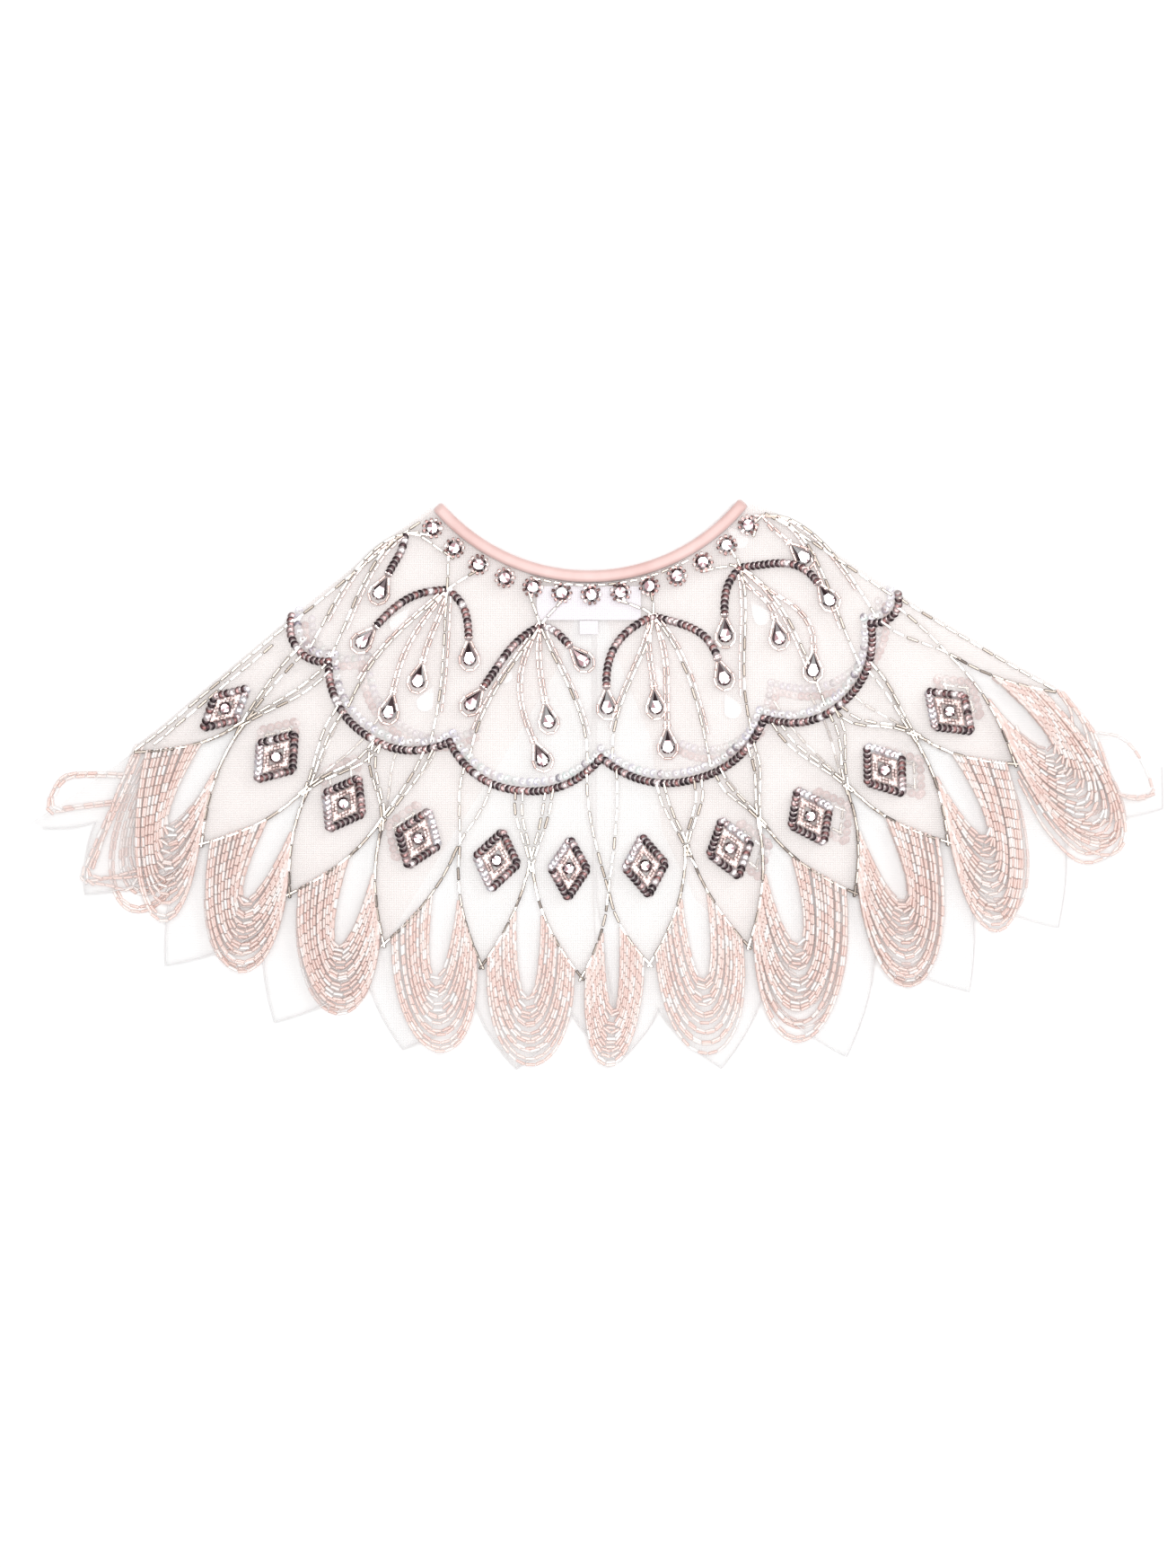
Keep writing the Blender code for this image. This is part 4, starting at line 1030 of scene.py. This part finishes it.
def facet_stone(mesh, ring, base, tone_layer, dice, cut=STONE_CUT):
    """Add a faceted stone over a closed plan outline; every facet gets a random tone, painted as a light or dark
    reflection.
    """
    centre = sum(ring, Vector((0.0, 0.0))) / len(ring)
    rows = []
    for index, level in enumerate(cut):
        row = []
        for side, corner in enumerate(ring):
            here = corner if index < 2 else corner.lerp(ring[(side + 1) % len(ring)], 0.5)
            row.append(mesh.verts.new((*(centre + (here - centre) * level.share), base + level.height)))
        rows.append(row)
    faces = []
    count = len(ring)
    for side in range(count):
        after = (side + 1) % count
        faces.append(mesh.faces.new((rows[0][side], rows[0][after], rows[1][after], rows[1][side])))
        faces.append(mesh.faces.new((rows[1][side], rows[1][after], rows[2][side])))
        faces.append(mesh.faces.new((rows[2][side], rows[1][after], rows[2][after])))
    top = mesh.verts.new((*centre, base + cut[-1].height + 0.0001))
    faces.append(mesh.faces.new(rows[0][::-1]))
    for face in faces:
        face[tone_layer] = dice.choice((0.0, 0.15, 0.35, 0.55, 0.8, 1.0))
    # The table facets draw from a slightly lighter set of tones, a painted highlight in the middle of the stone.
    for side in range(count):
        face = mesh.faces.new((rows[2][side], rows[2][(side + 1) % count], top))
        face[tone_layer] = dice.choice((0.0, 0.3, 0.6, 0.85, 1.0))


def round_ring(centre, radius, sides, turn=0.0):
    """Plan outline of a round stone or of the ring of beads about it."""
    return [centre + Vector((math.cos(turn + math.tau * side / sides), math.sin(turn + math.tau * side / sides)))
            * radius for side in range(sides)]


def closed(ring):
    """A ring as a line that ends where it starts."""
    return ring + [ring[0]]


# Painted reflections: the stones' facets are painted from near black through rose grey to white by their random tone,
# standing in for the sparkle of cut glass.
crystal, nodes, shader = new_material("foiled_crystal", (0.9, 0.85, 0.85), 0.06, 0.9)
tone = nodes.new("ShaderNodeAttribute")
tone.attribute_name = "tone"
ramp = nodes.new("ShaderNodeValToRGB")
ramp.color_ramp.interpolation = "LINEAR"
for position, colour in ((0.30, (0.27, 0.18, 0.19)), (0.60, (0.62, 0.50, 0.51))):
    ramp.color_ramp.elements.new(position).color = (*colour, 1.0)
ramp.color_ramp.elements[0].color = (0.09, 0.055, 0.06, 1.0)
ramp.color_ramp.elements[-1].color = (1.0, 0.98, 0.98, 1.0)
crystal.node_tree.links.new(tone.outputs["Fac"], ramp.inputs["Fac"])
crystal.node_tree.links.new(ramp.outputs["Color"], shader.inputs["Base Color"])

claw_bronze = toned_material("claw_bronze", (
    (0.0, (0.16, 0.09, 0.085)), (0.5, (0.38, 0.24, 0.225)), (1.0, (0.80, 0.66, 0.63))), 0.25, 0.8)
dice = random.Random(41)
mesh = bmesh.new()
tone_layer = mesh.faces.layers.float.new("tone")
ring_beads, pear_beads = [], []
for index in range(13):
    angle = -46.0 + (47.2 + 46.0) * index / 12
    centre = spot(angle, NECK_STONE_RING)
    facet_stone(mesh, round_ring(centre, NECK_STONE_RADIUS, 8, dice.random()), front_net(angle, NECK_STONE_RING),
                tone_layer, dice)
    ring_beads.append(on_front(closed(round_ring(centre, NECK_STONE_RADIUS + 0.0004, 16)), 0.0009))
for diamond in FRONT_DIAMONDS:
    centre = spot(diamond.angle, diamond.radius)
    facet_stone(mesh, round_ring(centre, DIAMOND_STONE_RADIUS, 8, dice.random()),
                front_net(diamond.angle, diamond.radius), tone_layer, dice)
for pendant in PENDANTS:
    centre = spot(pendant.angle, pendant.radius)
    ring = pear_ring(centre, pendant.arrive, PEAR_LENGTH * 0.88, PEAR_WIDTH * 0.84)
    facet_stone(mesh, ring, front_net(pendant.angle, pendant.radius), tone_layer, dice)
    outline = pear_ring(centre, pendant.arrive, PEAR_LENGTH + 0.0022, PEAR_WIDTH + 0.0010, 6)
    pear_beads.append(on_front(closed(outline), 0.0006))
bmesh.ops.recalc_face_normals(mesh, faces=mesh.faces)
faceted_stones = place_mesh("faceted_stones", mesh, smooth=False)
faceted_stones.data.materials.append(crystal)
stone_rings = thread_beads("stone_ring_beads", ring_beads, seed_bead, 0.0027, 0.0, 0.20, 12, claw_bronze)
pear_rings = thread_beads("pear_ring_bugles", pear_beads, short_bugle, 0.0040, 0.0, 0.04, 13, rose_glass)
for piece in (faceted_stones, stone_rings, pear_rings):
    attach(piece, "root")

# Back embroidery. The same work on the two back halves, bead side down. Through the net and both
# linings it shows as pale rose shapes, with the foil backs of its stones as white spots.
back_lines_sequins, back_lines_bugles, back_lines_pearl = [], [], []
for cusps in (BACK_LEFT_CUSPS, BACK_RIGHT_CUSPS):
    back_lines_sequins += [on_back(line, 0.0011) for line in scallop_row(cusps, 0.0, SCALLOP_DIP)]
    back_lines_pearl += [on_back(line, 0.0011) for line in scallop_row(cusps, SCALLOP_ROW_GAP, SCALLOP_DIP)]
for diamond in BACK_DIAMONDS:
    back_lines_sequins += [on_back(line, 0.0011) for line in lozenge_sides(diamond, 0.93, 0.07)]
    back_lines_bugles += [on_back(line, 0.0009) for line in lozenge_sides(diamond, 0.58, 0.15)]
for rows, cusps in ((NET_PETALS[0:4], BACK_LEFT_CUSPS), (NET_PETALS[7:11], BACK_RIGHT_CUSPS)):
    for row, following in zip(rows, rows[1:]):
        for tip, spread in ((following[:2], -2.4), (row[:2], 2.6)):
            upper, lower = lattice_line(row, tip, spread, cusps, SCALLOP_DIP, 0.0)
            back_lines_bugles.append(on_back(upper + lower, 0.0009))
back_rose = toned_material("wrong_side_rose", (
    (0.0, (0.52, 0.34, 0.33)), (0.5, (0.74, 0.56, 0.55)), (1.0, (0.93, 0.86, 0.86))), 0.35, 0.2)
back_beadwork = [
    thread_beads("back_sequins", back_lines_sequins, sequin, 0.0031, 0.08, 0.05, 15, back_rose),
    thread_beads("back_pearl_sequins", back_lines_pearl, sequin, 0.0031, 0.08, 0.05, 16, pearl_foil),
    thread_beads("back_bugles", back_lines_bugles, bugle, 0.0065, 0.0, 0.03, 17, cream_glass),
]
mesh = bmesh.new()
tone_layer = mesh.faces.layers.float.new("tone")
for pendant in BACK_PENDANTS:
    ring = pear_ring(spot(pendant.angle, pendant.radius), pendant.angle, PEAR_LENGTH, PEAR_WIDTH)
    facet_stone(mesh, ring, 0.0, tone_layer, dice,
                (Cut(0.6, 0.0002), Cut(0.96, 0.0009), Cut(1.0, 0.0014)))
bmesh.ops.recalc_face_normals(mesh, faces=mesh.faces)
back_stones = place_mesh("back_stones", mesh, smooth=False)
foil_back, _, _ = new_material("white_foil_back", (0.95, 0.95, 0.96), 0.3, 0.1)
back_stones.data.materials.append(foil_back)
for piece in back_beadwork + [back_stones]:
    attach(piece, "root")

# Bead fringe. Swags of pale pink bugles on thread, tied at their two ends along the lower sides of
# neighbouring petals and hanging in nested loops, the longest tied nearest the petals' points.
TIED_FROM = 0.93
TIED_TO = 0.50
INNER_DROP = 0.038
INNER_SWING = 0.57
FRINGE_PITCH = 0.0048
FRONT_FRINGE = 0.0068
BACK_FRINGE = 0.0009
Swag = namedtuple("Swag", "lean drop flare strands")
FRONT_SWAGS = (
    Swag(-0.012, 0.058, 0.006, 16), Swag(-0.008, 0.050, 0.002, 16), Swag(-0.004, 0.047, 0.002, 16),
    Swag(0.001, 0.051, 0.002, 14), Swag(-0.002, 0.048, 0.002, 14), Swag(-0.003, 0.049, 0.002, 12),
    Swag(0.005, 0.050, 0.002, 14), Swag(0.003, 0.060, 0.002, 16), Swag(0.008, 0.062, 0.003, 16),
    Swag(0.012, 0.064, 0.008, 16), Swag(0.033, 0.062, 0.034, 17),
)
BACK_LEFT_SWAGS = (Swag(-0.032, 0.056, 0.016, 13), Swag(-0.012, 0.052, 0.006, 11), Swag(-0.006, 0.050, 0.002, 10))
BACK_RIGHT_SWAGS = (Swag(0.006, 0.056, 0.002, 10), Swag(0.008, 0.060, 0.004, 11), Swag(0.016, 0.058, 0.010, 12),
                    Swag(0.036, 0.056, 0.030, 13))


def hanging(start, end, droop, flare, steps=24):
    """Plan line of a strand that hangs between two ends, its legs spread by the flare."""
    reach = droop * (4 / 3)
    spread = Vector((flare, 0.0))
    return bend(start, start + reach - spread * 0.2, end + reach + spread, end, steps)


def swag_lines(row, following, swag, height, dice):
    """The nested strands of one swag, between an outer and an inner guide."""
    notch = (row.notch_angle, row.notch_radius)
    ends = []
    for tip, side in ((row[:2], 1), (following[:2], -1)):
        pair = []
        for share in (TIED_FROM, TIED_TO):
            here = spot(*petal_side(tip, notch, share, NET_FULLNESS))
            ahead = spot(*petal_side(tip, notch, share + 0.01, NET_FULLNESS))
            along = (ahead - here).normalized()
            pair.append(here + Vector((-along.y, along.x)) * side * 0.0008)
        ends.append(pair)
    droop = Vector((swag.lean, -swag.drop))
    down = (ends[0][0] + ends[1][0]) / 2 - spot(*notch)
    swing = down.normalized() * INNER_SWING + droop.normalized() * (1 - INNER_SWING)
    inner_droop = swing.normalized() * INNER_DROP
    lines = []
    for index in range(swag.strands):
        depth = index / (swag.strands - 1)
        depth = min(1.0, max(0.0, depth + dice.uniform(-0.03, 0.03)))
        slack = 1 + dice.uniform(-0.05, 0.02)
        outer = hanging(ends[0][0], ends[1][0], droop * slack, swag.flare)
        inner = hanging(ends[0][1], ends[1][1], inner_droop * (2 - slack), swag.flare * 0.35)
        rise = dice.uniform(-0.0005, 0.0007)
        line = [(*here.lerp(there, depth), height + rise * math.sin(math.pi * step / (len(outer) - 1)))
                for step, (here, there) in enumerate(zip(outer, inner))]
        lines.append(line)
    return lines


Stray = namedtuple("Stray", "node height places")
STRAYS = (
    Stray("fringe_back_left_1", 0.0040, ((-0.2267, 0.0168), (-0.2367, -0.0080), (-0.2475, -0.0330), (-0.2525, -0.0465),
                                         (-0.2450, -0.0475), (-0.2300, -0.0440), (-0.2080, -0.0385))),
    Stray("fringe_back_left_1", 0.0044, ((-0.2250, 0.0130), (-0.2335, -0.0060), (-0.2450, -0.0320), (-0.2500, -0.0470),
                                         (-0.2400, -0.0500), (-0.2300, -0.0520), (-0.2240, -0.0440))),
    Stray("fringe_back_left_1", 0.0048, ((-0.2235, 0.0160), (-0.2320, -0.0050), (-0.2430, -0.0290), (-0.2490, -0.0440),
                                         (-0.2360, -0.0465), (-0.2200, -0.0450))),
    Stray("fringe_back_left_1", 0.0052, ((-0.2255, 0.0150), (-0.2350, -0.0040), (-0.2420, -0.0270), (-0.2465, -0.0400))),
    Stray("fringe_back_left_1", 0.0030, ((-0.2330, 0.0045), (-0.2460, 0.0050), (-0.2600, 0.0040), (-0.2660, -0.0020),
                                         (-0.2690, -0.0135), (-0.2560, -0.0125), (-0.2395, -0.0105))),
    Stray("fringe_back_left_1", 0.0034, ((-0.2330, 0.0030), (-0.2460, 0.0035), (-0.2590, 0.0025), (-0.2645, -0.0030),
                                         (-0.2670, -0.0120), (-0.2550, -0.0110), (-0.2395, -0.0090))),
    Stray("fringe_front_11", 0.0060, ((0.2270, 0.0440), (0.2330, 0.0330), (0.2310, 0.0120), (0.2260, 0.0020),
                                      (0.2180, 0.0030), (0.2100, 0.0150), (0.2065, 0.0260))),
    Stray("fringe_front_11", 0.0064, ((0.2290, 0.0430), (0.2390, 0.0280), (0.2440, 0.0020), (0.2440, -0.0120),
                                      (0.2370, -0.0180), (0.2250, -0.0120), (0.2110, 0.0090))),
    Stray("fringe_front_11", 0.0056, ((0.2300, 0.0430), (0.2420, 0.0260), (0.2500, 0.0000), (0.2560, -0.0230),
                                      (0.2500, -0.0310), (0.2380, -0.0340), (0.2230, -0.0200), (0.2080, 0.0040))),
    Stray("fringe_front_11", 0.0052, ((0.2310, 0.0420), (0.2450, 0.0230), (0.2540, -0.0050), (0.2580, -0.0260),
                                      (0.2500, -0.0360), (0.2360, -0.0380), (0.2200, -0.0220), (0.2080, 0.0000))),
    Stray("fringe_back_right_4", 0.0030, ((0.2440, 0.0250), (0.2570, 0.0225), (0.2665, 0.0130), (0.2730, -0.0040),
                                          (0.2640, -0.0065), (0.2530, -0.0050))),
    Stray("fringe_back_right_4", 0.0034, ((0.2500, 0.0000), (0.2560, -0.0050), (0.2650, -0.0080), (0.2720, -0.0060))),
)


def stray_lines(node):
    """Strands of one swag that have slipped out from under the cape, as smooth lines."""
    lines = []
    for stray in STRAYS:
        if stray.node != node:
            continue
        places = [Vector(place) for place in stray.places]
        places = [places[0] * 2 - places[1]] + places + [places[-1] * 2 - places[-2]]
        line = []
        for before, here, after, later in zip(places, places[1:], places[2:], places[3:]):
            line += bend(here, here + (after - before) / 6, after - (later - here) / 6, after, 8)[:-1]
        lines.append([(*place, stray.height) for place in line + [places[-2]]])
    return lines


# Pale pink glass in random tones; the near-white tones are painted highlights, standing in for bugles flashing in the
# light.
blush_glass = toned_material("blush_glass", (
    (0.0, (0.84, 0.60, 0.54)), (0.45, (0.90, 0.70, 0.64)), (0.78, (0.94, 0.83, 0.79)), (1.0, (1.0, 0.98, 0.97))),
    0.12, 0.0, 0.66)
dice = random.Random(17)
for index, (row, following, swag) in enumerate(zip(NET_PETALS, NET_PETALS[1:], FRONT_SWAGS)):
    node = f"fringe_front_{index + 1:02d}"
    piece = thread_beads(f"bead_{node}", swag_lines(row, following, swag, FRONT_FRINGE, dice)
                         + stray_lines(node), fringe_bugle, FRINGE_PITCH, 0.0, 0.04, 20 + index, blush_glass)
    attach(piece, "root")
    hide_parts(node)
for side, petals, swags in (("left", NET_PETALS[0:4], BACK_LEFT_SWAGS), ("right", NET_PETALS[7:12], BACK_RIGHT_SWAGS)):
    for index, (row, following, swag) in enumerate(zip(petals, petals[1:], swags)):
        node = f"fringe_back_{side}_{index + 1}"
        piece = thread_beads(f"bead_{node}", swag_lines(row, following, swag, BACK_FRINGE, dice)
                             + stray_lines(node), fringe_bugle, FRINGE_PITCH, 0.0, 0.03, 40 + index, blush_glass)
        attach(piece, "root")
        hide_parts(node)

for source in (bugle, short_bugle, seed_bead, fringe_bugle, sequin):
    bpy.data.objects.remove(source)

# Studio. A white table under a broad soft light, seen from straight above.
bpy.ops.mesh.primitive_plane_add(size=4.0, location=(0.0, 0.0, -0.0002))
table_top = bpy.context.object
table_top.name = "table_top"
table_white, _, _ = new_material("table_white", (0.93, 0.93, 0.93), 0.9)
table_top.data.materials.append(table_white)


def soft_light(name, place, size, power, aim=(0.0, 0.0, 0.0)):
    """A square soft box aimed at a place."""
    light = bpy.data.lights.new(name, "AREA")
    light.shape = "SQUARE"
    light.size = size
    light.energy = power
    lamp = bpy.data.objects.new(name, light)
    lamp.location = place
    lamp.rotation_euler = (Vector(aim) - Vector(place)).to_track_quat("-Z", "Y").to_euler()
    bpy.context.collection.objects.link(lamp)


soft_light("ceiling_box", (0.0, 0.0, 2.4), 1.6, 51.5)
soft_light("side_box", (1.0, 0.7, 1.2), 0.6, 6.5)
world = bpy.data.worlds.new("studio")
bpy.context.scene.world = world
world.use_nodes = True
world.node_tree.nodes["Background"].inputs["Color"].default_value = (1.0, 1.0, 1.0, 1.0)
world.node_tree.nodes["Background"].inputs["Strength"].default_value = 0.33
bpy.context.scene.view_settings.view_transform = "Standard"
bpy.context.scene.cycles.transparent_max_bounces = 32

lens = bpy.data.cameras.new("camera")
lens.lens = 85.0
lens.sensor_fit = "VERTICAL"
lens.sensor_height = 36.0
camera = bpy.data.objects.new("camera", lens)
camera.location = (-0.0042, -0.0004, 1.821)
bpy.context.collection.objects.link(camera)
bpy.context.scene.camera = camera
